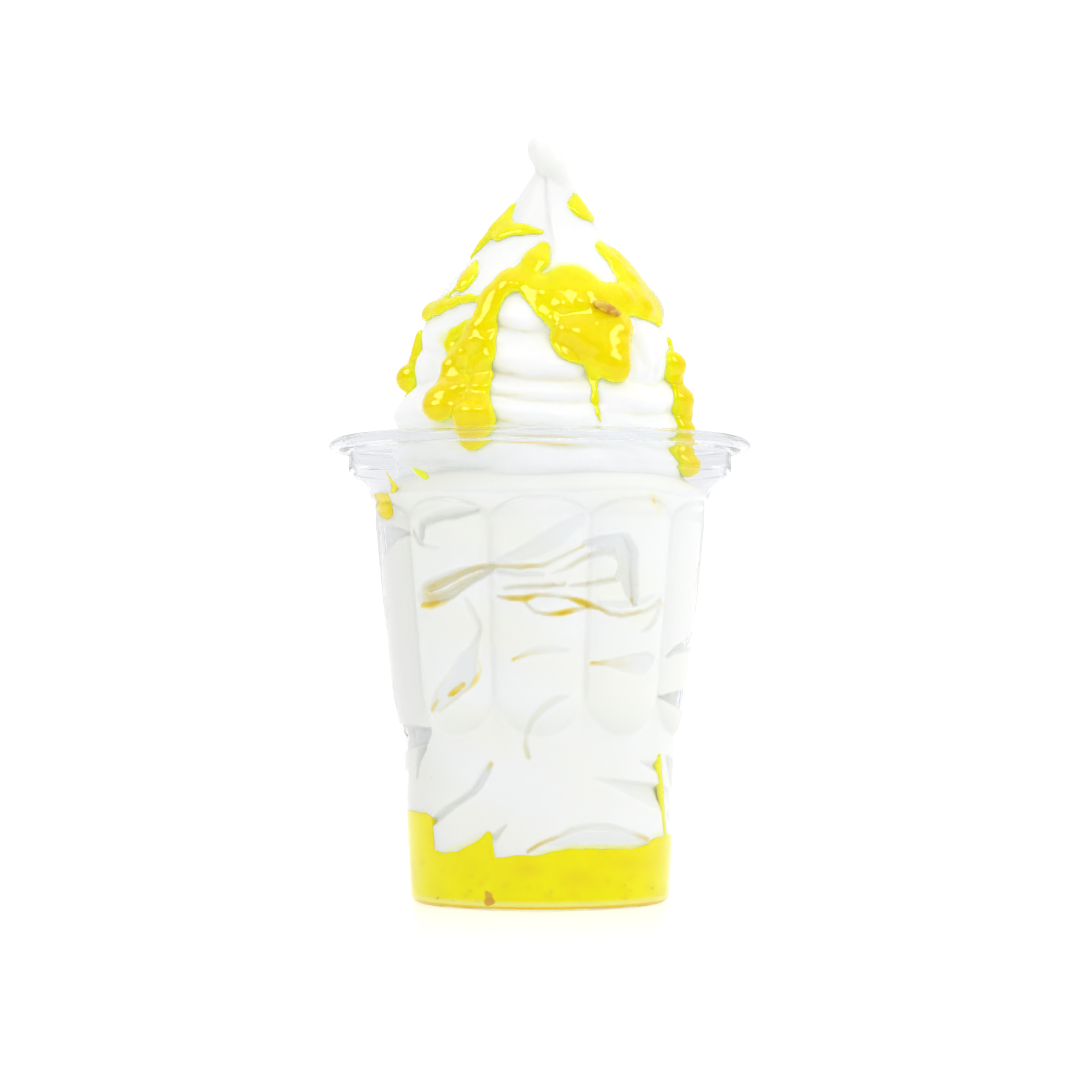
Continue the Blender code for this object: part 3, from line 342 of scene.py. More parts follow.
# Old sauce in the folds: lines of azimuth, height, half width and strength
STAIN_LINES = (
    ((-47.5, 71.6, 0.5, 0.5), (-40.9, 72.9, 0.7, 0.55), (-33.7, 74.2, 0.6, 0.5), (-27, 75.7, 0.5, 0.5),
     (-20.7, 76.9, 0.5, 0.45), (-13.3, 76.6, 0.5, 0.55), (-6.9, 76.4, 0.6, 0.6), (1, 76.8, 0.5, 0.4),
     (5, 77.8, 0.4, 0.25), (9.7, 79.5, 0.4, 0.28), (15, 81, 0.4, 0.5), (16.2, 81.4, 0.3, 0.3)),
    ((-47.6, 68.1, 0.7, 0.85), (-41.6, 68.2, 1.1, 1), (-35.3, 68.9, 0.8, 0.7), (-31, 70.4, 0.4, 0.2)),
    ((-46.5, 70.2, 1.6, 0.4), (-36, 71.6, 2.2, 0.36), (-24, 75, 1.5, 0.32), (-17, 76.6, 0.6, 0.3)),
    ((-15, 75.4, 0.4, 0.1), (1, 74.8, 0.4, 0.1)),
    ((-12.7, 71.8, 0.6, 0.2), (-7, 72.1, 0.6, 0.28), (1, 72.1, 0.6, 0.3), (8.6, 72.9, 0.7, 0.35)),
    ((-15.5, 70.1, 0.4, 0.3), (-10.3, 69.5, 0.7, 0.75), (-5, 69.4, 0.9, 1), (-0.6, 70.3, 0.5, 0.5),
     (5.9, 70, 0.4, 0.28), (10.8, 69.5, 0.5, 0.6), (14.1, 68.8, 0.8, 0.95), (18.4, 68, 0.9, 1),
     (21.8, 67.4, 0.5, 0.75), (25.6, 66.2, 0.5, 0.4), (30.3, 65.7, 0.5, 0.45), (36.3, 66.3, 0.5, 0.4),
     (41.6, 66.8, 0.5, 0.28), (45.6, 67.9, 0.5, 0.3), (49.3, 69.6, 0.4, 0.2)),
    ((-5.8, 69, 0.3, 0.2), (-2.2, 66.7, 0.4, 0.25), (2.7, 65.9, 0.5, 0.45), (7.6, 66.2, 0.8, 0.95),
     (11, 66.7, 0.7, 0.85), (15, 67.3, 0.4, 0.45), (19.3, 67.9, 0.4, 0.5)),
    ((39.5, 62.3, 0.4, 0.15), (42.8, 62.9, 0.6, 0.26), (45.6, 64.3, 0.7, 0.28), (48.3, 66.6, 0.6, 0.25)),
    ((49.6, 69, 0.3, 0.3), (50.8, 68.4, 0.5, 0.55), (53, 67.4, 0.3, 0.3)),
    ((4.2, 75.1, 0.3, 0.1), (9, 76, 0.4, 0.2), (13.7, 77.9, 0.5, 0.3), (18.6, 79.2, 0.5, 0.26),
     (23.6, 80.1, 0.5, 0.2), (27.6, 79.4, 0.6, 0.2)),
    ((10.7, 72.3, 0.4, 0.2), (16.4, 72.8, 0.5, 0.3), (22.4, 73.5, 0.5, 0.26), (27.2, 73.7, 0.6, 0.35)),
    ((31, 80, 1.2, 0.12), (32, 75.5, 1.6, 0.16), (34.4, 71, 1, 0.1)),
    ((35.4, 69.3, 0.4, 0.6), (35.6, 68.9, 0.4, 0.6)),
    ((-20.8, 65.7, 0.3, 0.12), (-22.7, 60.6, 0.4, 0.2), (-23, 56, 0.4, 0.22), (-22.8, 53.4, 0.5, 0.4),
     (-24.9, 51.3, 0.8, 0.75), (-26.9, 49.8, 0.6, 0.5), (-30.5, 48.5, 0.5, 0.28), (-36.1, 46.4, 0.5, 0.2),
     (-42.2, 44, 0.5, 0.3)),
    ((-24.6, 60.6, 0.3, 0.1), (-32.1, 57, 0.4, 0.16), (-37.5, 51.8, 0.4, 0.16), (-47.6, 46.6, 0.5, 0.2)),
    ((-37.2, 48, 0.5, 0.8), (-34, 49.1, 0.8, 0.7), (-30.4, 50.4, 0.6, 0.8)),
    ((-36, 47.9, 0.3, 1), (-32, 49.2, 0.3, 0.9)),
    ((-47.4, 44.6, 0.5, 0.8), (-45, 45.9, 0.6, 0.9), (-43.4, 46.8, 0.4, 0.6)),
    ((-9.8, 56, 0.4, 1), (-7.8, 56.5, 0.5, 0.6), (-4, 57.4, 0.6, 0.24), (3, 57.9, 0.8, 0.16),
     (9, 57.9, 0.7, 0.05)),
    ((19.6, 55.1, 0.3, 0.95), (22, 55.2, 0.4, 0.6), (27, 55.1, 0.9, 0.3), (34, 54.6, 1.9, 0.2),
     (41, 54.4, 2.2, 0.08)),
    ((24, 65.2, 1.2, 0.06), (36, 64.6, 2, 0.13), (44, 65.2, 1.8, 0.18), (49, 67.6, 1.1, 0.14)),
    ((-10, 73.6, 2, 0.14), (0, 73.4, 2.2, 0.14), (10, 71.4, 1.6, 0.1)),
    ((20, 55.3, 0.3, 0.3), (30, 56.3, 0.4, 0.2), (43, 57.2, 0.4, 0.14)),
    ((10.6, 48, 0.5, 0.05), (6.3, 47.3, 0.7, 0.16), (1.1, 45.2, 0.8, 0.18), (-3.2, 42.7, 0.7, 0.18),
     (-5.8, 39, 0.6, 0.18), (-6.1, 36.6, 0.6, 0.3), (-4.8, 34.4, 0.7, 0.5)),
    ((-5.2, 13.3, 0.4, 0.85), (-3.2, 14, 0.5, 0.95), (-0.5, 14.9, 0.5, 0.75), (4, 15.9, 0.5, 0.5),
     (9, 16.9, 0.5, 0.28), (14, 18.1, 0.6, 0.2), (24, 18.7, 0.7, 0.14), (34, 18, 0.7, 0.16),
     (44, 16.7, 0.7, 0.2), (51, 15.6, 0.8, 0.45), (54, 15, 0.7, 0.7)),
    ((-20.2, 32.8, 0.7, 0.6), (-21.6, 32.2, 0.6, 0.5), (-23, 30.6, 0.7, 0.15)),
    ((-52.2, 29.2, 0.2, 0.9), (-52, 29, 0.2, 0.9)),
    ((41.2, 91.6, 0.5, 0.7), (41.8, 91.2, 0.5, 0.7)),
    ((40, 92, 1.8, 0.26), (44.5, 90.6, 2, 0.28), (45, 87.6, 1.4, 0.14)),
    ((24, 29.4, 0.4, 0.05), (42, 27.4, 1, 0.14), (58, 25.6, 2, 0.16)),
    ((-50, 83.6, 0.3, 0.3), (-52, 84, 0.4, 0.4)),
    ((128, 70.2, 1, 0.5), (140, 69.6, 1, 0.4)),
    ((200, 76.8, 1, 0.5), (214, 77.4, 1, 0.4)),
    ((148, 29.4, 0.9, 0.4), (158, 27.4, 0.8, 0.3)),
    ((167, 56, 0.8, 0.4), (170, 48, 1.2, 0.3)),
)
# Yellow tinge on the ice cream: lines of azimuth, height, half width and strength
TINGES = (
    ((-3, 12.6, 0.4, 0.4), (5, 13.5, 0.6, 0.6), (14, 14.1, 0.8, 0.75), (26, 14.1, 0.8, 0.75),
     (38, 13.8, 0.8, 0.75), (49, 13.8, 0.6, 0.7), (54, 14.2, 0.4, 0.5)),
    ((-49, 98, 0.3, 0.3), (-47, 97, 0.3, 0.3)),
    ((58, 16, 0.5, 0.4), (70, 16.6, 0.5, 0.5)),
    ((-44, 13, 0.4, 0.5), (-34, 14.6, 0.4, 0.5), (-24, 17, 0.4, 0.4)),
    ((57, 34, 0.8, 0.2), (60, 30, 1.2, 0.35), (66, 20, 1.2, 0.35)),
)
# Ice cream in the cup: its points round and up, its lowest and highest level, and where it leaves the wall
CREAM_STEPS, CREAM_ROWS = ((500, 196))
CREAM_BOTTOM = 9.0
CREAM_TOP = 98.4
LEAVES_WALL = 92.6


# ---- numbers ----

def smooth(value):
    """Eases 0..1, and holds outside it."""
    value = np.clip(value, 0.0, 1.0)
    return value * value * (3.0 - 2.0 * value)


def turn_between(first, second):
    """Degrees from one azimuth to another, between -180 and 180."""
    return (first - second + 180.0) % 360.0 - 180.0


def away_from(spot, azimuth, height, radius):
    """Squared distance from a spot of azimuth, height and its reach along and up, in shares of that reach."""
    middle, level, reach, rise = spot[:4]
    return (np.radians(turn_between(azimuth, middle)) * radius / reach) ** 2 + ((height - level) / rise) ** 2


def along_link(points, start, end):
    """How far along a link each point is, from 0 to 1, and the way from the link to the point."""
    along = end - start
    away = points - start
    share = np.clip((away @ along) / (along @ along), 0.0, 1.0)
    return share, away - share[..., None] * along


def read_round(table, azimuth):
    """Value of a table of azimuth and value that goes once round."""
    places = np.array(table, float)
    return np.interp(azimuth, places[:, 0], places[:, 1], period=360.0)


def wobble(azimuth, height, seed, waves=7):
    """Slow uneven waves round and up the food, between about -1 and 1."""
    draw = random.Random(seed)
    total = 0.0
    for _ in range(waves):
        turns = draw.randint(2, 9)
        rise = draw.uniform(-0.32, 0.32)
        phase = draw.uniform(0.0, 2.0 * math.pi)
        total = total + np.sin(np.radians(azimuth) * turns + height * rise + phase)
    return total / math.sqrt(waves) * 0.7


def petal_relief(azimuth, height):
    """How far a petal stands out: a long finger with a round lower end and a short round upper end."""
    pitch = 360.0 / PETALS
    across = np.abs((azimuth + pitch / 2) % pitch - pitch / 2) / PETAL_HALF_ANGLE
    below = (STEP_HEIGHT - PETAL_DIP + PETAL_END - height) / PETAL_END
    above = (height - SHOULDER_HEIGHT + PETAL_TOP_GAP + PETAL_TOP_END) / PETAL_TOP_END
    along = np.maximum(0.0, np.maximum(below, above))
    return PETAL_RELIEF * np.sqrt(np.maximum(0.0, 1.0 - across ** 2 - along ** 2))


def wall_base(height):
    """Outer radius of the wall between its petals."""
    lower = np.interp(height, (CORNER_RADIUS, STEP_HEIGHT), (LOWER_RADIUS, STEP_RADIUS))
    slope = (SHOULDER_RADIUS - PETAL_BOTTOM_RADIUS) / (SHOULDER_HEIGHT - PETAL_BOTTOM_HEIGHT)
    crest = PETAL_BOTTOM_RADIUS + slope * (height - PETAL_BOTTOM_HEIGHT)
    lift = smooth((height - STEP_HEIGHT) / (PETAL_END - PETAL_DIP))
    upper = STEP_RADIUS + (crest - PETAL_RELIEF - STEP_RADIUS) * lift
    upper = upper + PETAL_RELIEF * smooth((height - SHOULDER_HEIGHT + PETAL_TOP_END) / PETAL_TOP_END)
    ledge = SHOULDER_RADIUS + np.interp(height, *np.transpose(LEDGE))
    return np.where(height <= STEP_HEIGHT, lower, np.where(height <= SHOULDER_HEIGHT, upper, ledge))


def inner_radius(azimuth, height):
    """Radius of the cup's inner face."""
    return wall_base(height) + petal_relief(azimuth, height) - WALL


def round_to_flat(azimuth, radius, height):
    """Points in millimetres from azimuth, radius and height."""
    turn = np.radians(azimuth)
    return np.stack(np.broadcast_arrays(radius * np.sin(turn), -radius * np.cos(turn), height), axis=-1)


# ---- meshes ----

def new_piece(name, points, faces, finish, values=None):
    """Object with a smooth closed mesh from points in millimetres, and named values at its points."""
    mesh = bpy.data.meshes.new(name)
    mesh.from_pydata((np.asarray(points) * MM).tolist(), [], faces)
    mesh.update()
    for label, numbers in (values or {}).items():
        store_value(mesh, label, numbers)
    return place_mesh(name, mesh, finish)


def store_value(mesh, label, numbers):
    """Stores a named value at each point of a mesh."""
    spot = mesh.attributes.new(label, "FLOAT", "POINT")
    spot.data.foreach_set("value", np.asarray(numbers, np.float32))


def place_mesh(name, mesh, finish):
    """Object for a finished mesh, whose faces are turned outwards if they point in."""
    work = bmesh.new()
    work.from_mesh(mesh)
    if work.calc_volume(signed=True) < 0.0:
        bmesh.ops.reverse_faces(work, faces=work.faces)
    work.to_mesh(mesh)
    work.free()
    mesh.materials.clear()
    mesh.materials.append(finish)
    mesh.shade_smooth()
    return in_scene(name, mesh)


def in_scene(name, data):
    """Object in the scene for a mesh, a lamp or a camera."""
    holder = bpy.data.objects.new(name, data)
    bpy.context.scene.collection.objects.link(holder)
    return holder


def barrel(rings, bottom, top):
    """Points and faces of a closed body: rings one above another, and a pole at each end."""
    rows, steps = rings.shape[:2]
    points = np.concatenate((rings.reshape(-1, 3), [bottom], [top]))
    low = np.arange(rows - 1)[:, None] * steps
    here = np.arange(steps)[None, :]
    after = (here + 1) % steps
    quads = np.stack((low + here, low + after, low + steps + after, low + steps + here), axis=-1)
    faces = quads.reshape(-1, 4).tolist()
    last = (rows - 1) * steps
    for step in range(steps):
        following = (step + 1) % steps
        faces.append((rows * steps, following, step))
        faces.append((rows * steps + 1, last + step, last + following))
    return points, faces


def net_of(field, low, cell):
    """Points and faces of the surface where a field on a regular grid leaves the inside, which is below zero.

    Each cell that the surface passes gets one point, and each grid edge that it crosses one face.
    """
    cells = np.array(field.shape) - 1
    inside = field < 0.0
    keys, places, corners, turned = [], [], [], []
    for axis in range(3):
        first, second = [slice(None)] * 3, [slice(None)] * 3
        first[axis], second[axis] = slice(0, -1), slice(1, None)
        first, second = tuple(first), tuple(second)
        spots = np.argwhere(inside[first] != inside[second])
        near = field[first][tuple(spots.T)].astype(float)
        far = field[second][tuple(spots.T)].astype(float)
        crossing = spots.astype(float)
        crossing[:, axis] += near / (near - far)
        following, last = (axis + 1) % 3, (axis + 2) % 3
        loop = []
        for step_u, step_v in ((0, 0), (-1, 0), (-1, -1), (0, -1)):
            box = spots.copy()
            box[:, following] += step_u
            box[:, last] += step_v
            key = np.ravel_multi_index(box.T, cells)
            keys.append(key)
            places.append(crossing)
            loop.append(key)
        corners.append(np.stack(loop, axis=-1))
        turned.append(near > 0.0)
    keys, places = np.concatenate(keys), np.concatenate(places)
    used, index = np.unique(keys, return_inverse=True)
    counts = np.bincount(index)
    points = np.stack([np.bincount(index, places[:, axis]) / counts for axis in range(3)], axis=-1)
    quads = np.searchsorted(used, np.concatenate(corners))
    flip = np.concatenate(turned)
    quads[flip] = quads[flip][:, ::-1]
    return points * cell + np.array(low), quads.tolist()


def join_pieces(name, pieces):
    """One object from several that share a finish."""
    work = bmesh.new()
    finish = pieces[0].data.materials[0]
    for piece in pieces:
        work.from_mesh(piece.data)
        bpy.data.objects.remove(piece, do_unlink=True)
    mesh = bpy.data.meshes.new(name)
    work.to_mesh(mesh)
    work.free()
    return place_mesh(name, mesh, finish)


# ---- trees of nodes ----

# A grain's width and height as shares of its length
GRAIN_WIDTH, GRAIN_HEIGHT = 0.7, 0.45


def new_tree(name, sizes):
    """Geometry tree with named size inputs. Returns the tree, its group input and its group output."""
    tree = bpy.data.node_groups.new(name, "GeometryNodeTree")
    tree.interface.new_socket("Shape", in_out="INPUT", socket_type="NodeSocketGeometry")
    for label, kind, value in sizes:
        socket = tree.interface.new_socket(label, in_out="INPUT", socket_type=kind)
        if value is not None:
            socket.default_value = value
    tree.interface.new_socket("Shape", in_out="OUTPUT", socket_type="NodeSocketGeometry")
    return tree, tree.nodes.new("NodeGroupInput"), tree.nodes.new("NodeGroupOutput")


def add_node(tree, kind, inputs=None, **settings):
    """Node with its settings, and its inputs by name or number set to values or joined to sockets."""
    node = tree.nodes.new(kind)
    for label, value in settings.items():
        setattr(node, label, value)
    for label, value in (inputs or {}).items():
        if isinstance(value, bpy.types.NodeSocket):
            tree.links.new(value, node.inputs[label])
        else:
            node.inputs[label].default_value = value
    return node


def maths(tree, operation, first, second=0.0):
    """Result of a maths node on two sockets or numbers."""
    kind = "ShaderNodeMath"
    return add_node(tree, kind, {0: first, 1: second}, operation=operation).outputs[0]


def makers(tree):
    """The two functions above with the tree already given."""
    return functools.partial(add_node, tree), functools.partial(maths, tree)


def place_in(tree):
    """Node that splits the position of each point."""
    spot = add_node(tree, "GeometryNodeInputPosition").outputs[0]
    return add_node(tree, "ShaderNodeSeparateXYZ", {0: spot})


def end_tree(tree, shape, finish, made):
    """Makes instances real, sets the finish and joins the result to the tree's output."""
    real = add_node(tree, "GeometryNodeRealizeInstances", {0: shape})
    last = add_node(tree, "GeometryNodeSetMaterial", {"Geometry": real.outputs[0], "Material": finish})
    tree.links.new(last.outputs[0], made.inputs[0])
    return tree


def run_tree(name, mesh, tree, finish, sizes):
    """Runs a geometry tree on a mesh and returns the result as a plain object."""
    carrier = in_scene(name + "_base", mesh)
    modifier = carrier.modifiers.new("shape", "NODES")
    modifier.node_group = tree
    for item in tree.interface.items_tree:
        if item.in_out == "INPUT" and item.name in sizes:
            modifier[item.identifier] = sizes[item.name]
    bpy.context.view_layer.update()
    evaluated = carrier.evaluated_get(bpy.context.evaluated_depsgraph_get())
    result = bpy.data.meshes.new_from_object(evaluated)
    carrier.modifiers.remove(modifier)
    bpy.data.objects.remove(carrier, do_unlink=True)
    return place_mesh(name, result, finish)


def line_mesh(name, points, values=None):
    """Mesh of a line through points in metres, with named values at them."""
    mesh = bpy.data.meshes.new(name)
    mesh.from_pydata([tuple(point) for point in points], [(i, i + 1) for i in range(len(points) - 1)], [])
    for label, numbers in (values or {}).items():
        store_value(mesh, label, numbers)
    return mesh


def spin_tree():
    """Tree that spins a profile of radius along X and height along Z, and raises petals on its wall."""
    number = "NodeSocketFloat"
    tree, given, made = new_tree("spin_with_petals", (
        ("Steps", "NodeSocketInt", CUP_STEPS), ("Petals", "NodeSocketInt", PETALS), ("Relief", number, 0.0),
        ("Half angle", number, 1.0), ("Lower end", number, 0.0), ("Lower reach", number, 1.0),
        ("Upper end", number, 0.0), ("Upper reach", number, 1.0), ("Finish", "NodeSocketMaterial", None)))
    add, calc = makers(tree)
    size = given.outputs
    count = add("GeometryNodeAttributeDomainSize", {0: size["Shape"]}).outputs["Point Count"]
    around = calc("ADD", size["Steps"], 1.0)
    grid = add("GeometryNodeMeshGrid", {
        "Size X": 1.0, "Size Y": 1.0, "Vertices X": around, "Vertices Y": count}).outputs["Mesh"]
    place = place_in(tree)
    degrees = calc("MULTIPLY", calc("ADD", place.outputs["X"], 0.5), 360.0)
    last_row = calc("SUBTRACT", count, 1.0)
    row = calc("ROUND", calc("MULTIPLY", calc("ADD", place.outputs["Y"], 0.5), last_row))
    sample = add("GeometryNodeSampleIndex", data_type="FLOAT_VECTOR", domain="POINT")
    tree.links.new(size["Shape"], sample.inputs["Geometry"])
    tree.links.new(add("GeometryNodeInputPosition").outputs[0], sample.inputs["Value"])
    tree.links.new(row, sample.inputs["Index"])
    spot = add("ShaderNodeSeparateXYZ", {0: sample.outputs["Value"]})
    radius, height = spot.outputs["X"], spot.outputs["Z"]
    half_pitch = calc("DIVIDE", 180.0, size["Petals"])
    across = calc("DIVIDE", calc("PINGPONG", degrees, half_pitch), size["Half angle"])
    below = calc("DIVIDE", calc("SUBTRACT", size["Lower end"], height), size["Lower reach"])
    above = calc("DIVIDE", calc("SUBTRACT", height, size["Upper end"]), size["Upper reach"])
    along = calc("MAXIMUM", calc("MAXIMUM", below, above), 0.0)
    left = calc("SUBTRACT", calc("SUBTRACT", 1.0, calc("POWER", across, 2.0)), calc("POWER", along, 2.0))
    relief = calc("MULTIPLY", calc("SQRT", calc("MAXIMUM", left, 0.0)), size["Relief"])
    reach = calc("ADD", radius, relief)
    angle = calc("RADIANS", degrees)
    moved = add("ShaderNodeCombineXYZ", {
        "X": calc("MULTIPLY", reach, calc("SINE", angle)),
        "Y": calc("MULTIPLY", reach, calc("MULTIPLY", calc("COSINE", angle), -1.0)), "Z": height})
    shaped = add("GeometryNodeSetPosition", {"Geometry": grid, "Position": moved.outputs[0]})
    merged = add("GeometryNodeMergeByDistance", {"Geometry": shaped.outputs[0], "Distance": 1e-6})
    return end_tree(tree, merged.outputs[0], size["Finish"], made)


def strand_tree():
    """Tree that lays a flattened strand along a line of points, each with its own half width."""
    tree, given, made = new_tree("strand_along_line", (
        ("Sides", "NodeSocketInt", 16), ("Thickness", "NodeSocketFloat", 0.6),
        ("Finish", "NodeSocketMaterial", None)))
    add, _ = makers(tree)
    size = given.outputs
    curve = add("GeometryNodeMeshToCurve", {0: size["Shape"]})
    place = place_in(tree)
    outward = add("ShaderNodeCombineXYZ", {"X": place.outputs["X"], "Y": place.outputs["Y"]})
    facing = add("GeometryNodeSetCurveNormal", {"Curve": curve.outputs[0]})
    facing.mode = "FREE"
    tree.links.new(outward.outputs[0], facing.inputs["Normal"])
    width = add("GeometryNodeInputNamedAttribute", {"Name": "half_width"}, data_type="FLOAT").outputs[0]
    sized = add("GeometryNodeSetCurveRadius", {"Curve": facing.outputs[0], "Radius": width})
    ring = add("GeometryNodeCurvePrimitiveCircle", {"Resolution": size["Sides"], "Radius": 1.0})
    scale = add("ShaderNodeCombineXYZ", {"X": size["Thickness"], "Y": 1.0, "Z": 1.0})
    flat = add("GeometryNodeTransform", {"Geometry": ring.outputs[0], "Scale": scale.outputs[0]})
    tube = add("GeometryNodeCurveToMesh", {
        "Curve": sized.outputs[0], "Profile Curve": flat.outputs[0], "Scale": width, "Fill Caps": True})
    return end_tree(tree, tube.outputs[0], size["Finish"], made)


def scatter_tree():
    """Tree that scatters flat grains over a surface, with a fixed seed."""
    number = "NodeSocketFloat"
    tree, given, made = new_tree("scattered_grains", (
        ("Density", number, 10000.0), ("Seed", "NodeSocketInt", 3), ("Smallest", number, 0.0001),
        ("Largest", number, 0.0003), ("Finish", "NodeSocketMaterial", None)))
    add, calc = makers(tree)
    size = given.outputs
    spots = add("GeometryNodeDistributePointsOnFaces", {
        "Mesh": size["Shape"], "Density": size["Density"], "Seed": size["Seed"]})
    grain = add("GeometryNodeMeshIcoSphere", {"Radius": 1.0, "Subdivisions": 2})
    big = add("FunctionNodeRandomValue", {}, data_type="FLOAT")
    tree.links.new(size["Smallest"], big.inputs[2])
    tree.links.new(size["Largest"], big.inputs[3])
    tree.links.new(size["Seed"], big.inputs["Seed"])
    along = big.outputs[1]
    shape = add("ShaderNodeCombineXYZ", {
        "X": along, "Y": calc("MULTIPLY", along, GRAIN_WIDTH), "Z": calc("MULTIPLY", along, GRAIN_HEIGHT)})
    laid = add("GeometryNodeInstanceOnPoints", {
        "Points": spots.outputs["Points"], "Instance": grain.outputs["Mesh"],
        "Rotation": spots.outputs["Rotation"], "Scale": shape.outputs[0]})
    return end_tree(tree, laid.outputs[0], size["Finish"], made)


# ---- finishes ----

WHITE = (1.0, 1.0, 1.0)
# Stops of the colour ramps, as place and linear colour
ICE_STOPS = ((0.3, (0.935, 0.94, 0.935)), (0.7, (0.965, 0.968, 0.965)))
STAIN_STOPS = ((0.0, (0.96, 0.96, 0.93)), (0.15, (0.95, 0.95, 0.85)), (0.3, (0.92, 0.88, 0.70)),
    (0.5, (0.93, 0.81, 0.40)), (0.75, (0.93, 0.73, 0.08)), (1.0, (0.88, 0.61, 0.01)))
# Painted shade: from none, through a faint warm grey, to the darkest grey
PAINTED_SHADE_STOPS = ((0.0, WHITE), (0.5, (0.925, 0.93, 0.925)), (1.0, (0.82, 0.81, 0.83)))
SAUCE_STOPS = ((0.0, (0.84, 0.91, 0.03)), (0.12, (0.92, 0.91, 0.006)), (0.45, (0.94, 0.87, 0.0)),
    (1.0, (0.93, 0.765, 0.0)))
CLOUD_STOPS = ((0.35, (0.97, 0.94, 0.9)), (0.62, WHITE))
FLOOR_STOPS = ((0.3, (0.42, 0.425, 0.43)), (0.7, (0.44, 0.445, 0.45)))
# Sauce as a film over the ice cream, in a blotch and in the painted shadow along its bottom edge, and in the
# paler colour painted at the foot
FILM_COLOUR = (0.89, 0.93, 0.10)
BLOTCH_AND_SHADOW_COLOUR = (0.86, 0.60, 0.01)
FOOT_PAINTED_LIGHT_COLOUR = (0.94, 0.88, 0.45)
# Cup: its plastic, and the light that goes straight through it
PLASTIC_COLOUR = (0.95, 0.955, 0.97, 1.0)
THROUGH_COLOUR = (0.97, 0.975, 0.98, 1.0)


def new_finish(name, **settings):
    """Material with one Principled shader and its plain sockets. Returns material, tree and shader."""
    finish = bpy.data.materials.new(name)
    finish.use_nodes = True
    tree = finish.node_tree
    shader = tree.nodes["Principled BSDF"]
    for label, value in settings.items():
        shader.inputs[label.replace("_", " ")].default_value = value
    return finish, tree, shader


def noise(tree, scale, detail=2.0, roughness=0.5):
    """Noise over the object's own coordinates."""
    place = add_node(tree, "ShaderNodeTexCoord").outputs["Object"]
    return add_node(tree, "ShaderNodeTexNoise", {
        "Vector": place, "Scale": scale, "Detail": detail, "Roughness": roughness}).outputs["Fac"]


def ramp(tree, factor, stops):
    """Colour ramp over a factor; stops are place and linear colour."""
    node = add_node(tree, "ShaderNodeValToRGB", {"Fac": factor})
    while len(node.color_ramp.elements) < len(stops):
        node.color_ramp.elements.new(0.5)
    for element, (place, colour) in zip(node.color_ramp.elements, stops):
        element.position = place
        element.color = (*colour, 1.0)
    return node.outputs["Color"]


def mix_colour(tree, kind, factor, first, second):
    """Mix of two colours, each a socket or a colour."""
    node = add_node(tree, "ShaderNodeMix", data_type="RGBA", blend_type=kind)
    for place, value in ((0, factor), (6, first), (7, second)):
        if isinstance(value, bpy.types.NodeSocket):
            tree.links.new(value, node.inputs[place])
        else:
            node.inputs[place].default_value = value if place == 0 else (*value, 1.0)
    return node.outputs[2]


def read_value(tree, label):
    """Value stored at the mesh's points."""
    stored = add_node(tree, "ShaderNodeAttribute", attribute_name=label, attribute_type="GEOMETRY")
    return stored.outputs["Fac"]


def add_bump(tree, shader, height, strength, distance):
    """Fine relief under the finish."""
    bump = add_node(tree, "ShaderNodeBump", {"Height": height, "Strength": strength, "Distance": distance})
    tree.links.new(bump.outputs[0], shader.inputs["Normal"])


def set_roughness(tree, shader, factor, low, high):
    """Roughness that varies between two values."""
    spread = add_node(tree, "ShaderNodeMapRange", {"Value": factor, "To Min": low, "To Max": high})
    tree.links.new(spread.outputs[0], shader.inputs["Roughness"])


def clear_plastic():
    """Thin clear plastic, a little wavy. Light from lamps and from what it holds goes straight through."""
    finish, tree, shader = new_finish("clear_plastic", Base_Color=PLASTIC_COLOUR, IOR=1.05,
        Transmission_Weight=1.0, Coat_Weight=1.0, Coat_IOR=1.22, Coat_Roughness=0.05)
    set_roughness(tree, shader, noise(tree, 55.0, 1.0), 0.02, 0.06)
    add_bump(tree, shader, noise(tree, 40.0, 0.0), 0.012, 0.0004)
    path = add_node(tree, "ShaderNodeLightPath")
    through = add_node(tree, "ShaderNodeBsdfTransparent", {"Color": THROUGH_COLOUR}).outputs[0]
    surface = shader.outputs[0]
    for ray in ("Is Diffuse Ray", "Is Shadow Ray"):
        surface = add_node(tree, "ShaderNodeMixShader", {
            0: path.outputs[ray], 1: surface, 2: through}).outputs[0]
    tree.links.new(surface, tree.nodes["Material Output"].inputs["Surface"])
    return finish


def soft_serve():
    """White soft serve: a soft milky body, faint ice grain, and old sauce and painted shade where the mesh
    says so.
    """
    finish, tree, shader = new_finish("soft_serve", Subsurface_Weight=0.35, Subsurface_Scale=0.003,
        Subsurface_Radius=(1.0, 0.95, 0.88), IOR=1.4, Specular_IOR_Level=0.35)
    body = ramp(tree, noise(tree, 45.0, 3.0), ICE_STOPS)
    stain = ramp(tree, read_value(tree, "stain"), STAIN_STOPS)
    rises = add_node(tree, "ShaderNodeMapRange", {"Value": read_value(tree, "stain"), "From Max": 0.15})
    stained = mix_colour(tree, "MIX", rises.outputs[0], body, stain)
    # Painted shade, stored at the mesh's points, darkens the colour
    shade = ramp(tree, read_value(tree, "painted_shade"), PAINTED_SHADE_STOPS)
    with_painted_shade = mix_colour(tree, "MULTIPLY", 1.0, stained, shade)
    tinted = mix_colour(tree, "MIX", read_value(tree, "tint"), with_painted_shade, FILM_COLOUR)
    tree.links.new(tinted, shader.inputs["Base Color"])
    grain = noise(tree, 900.0, 3.0, 0.6)
    set_roughness(tree, shader, noise(tree, 200.0), 0.38, 0.55)
    add_bump(tree, shader, grain, 0.25, 0.0001)
    return finish


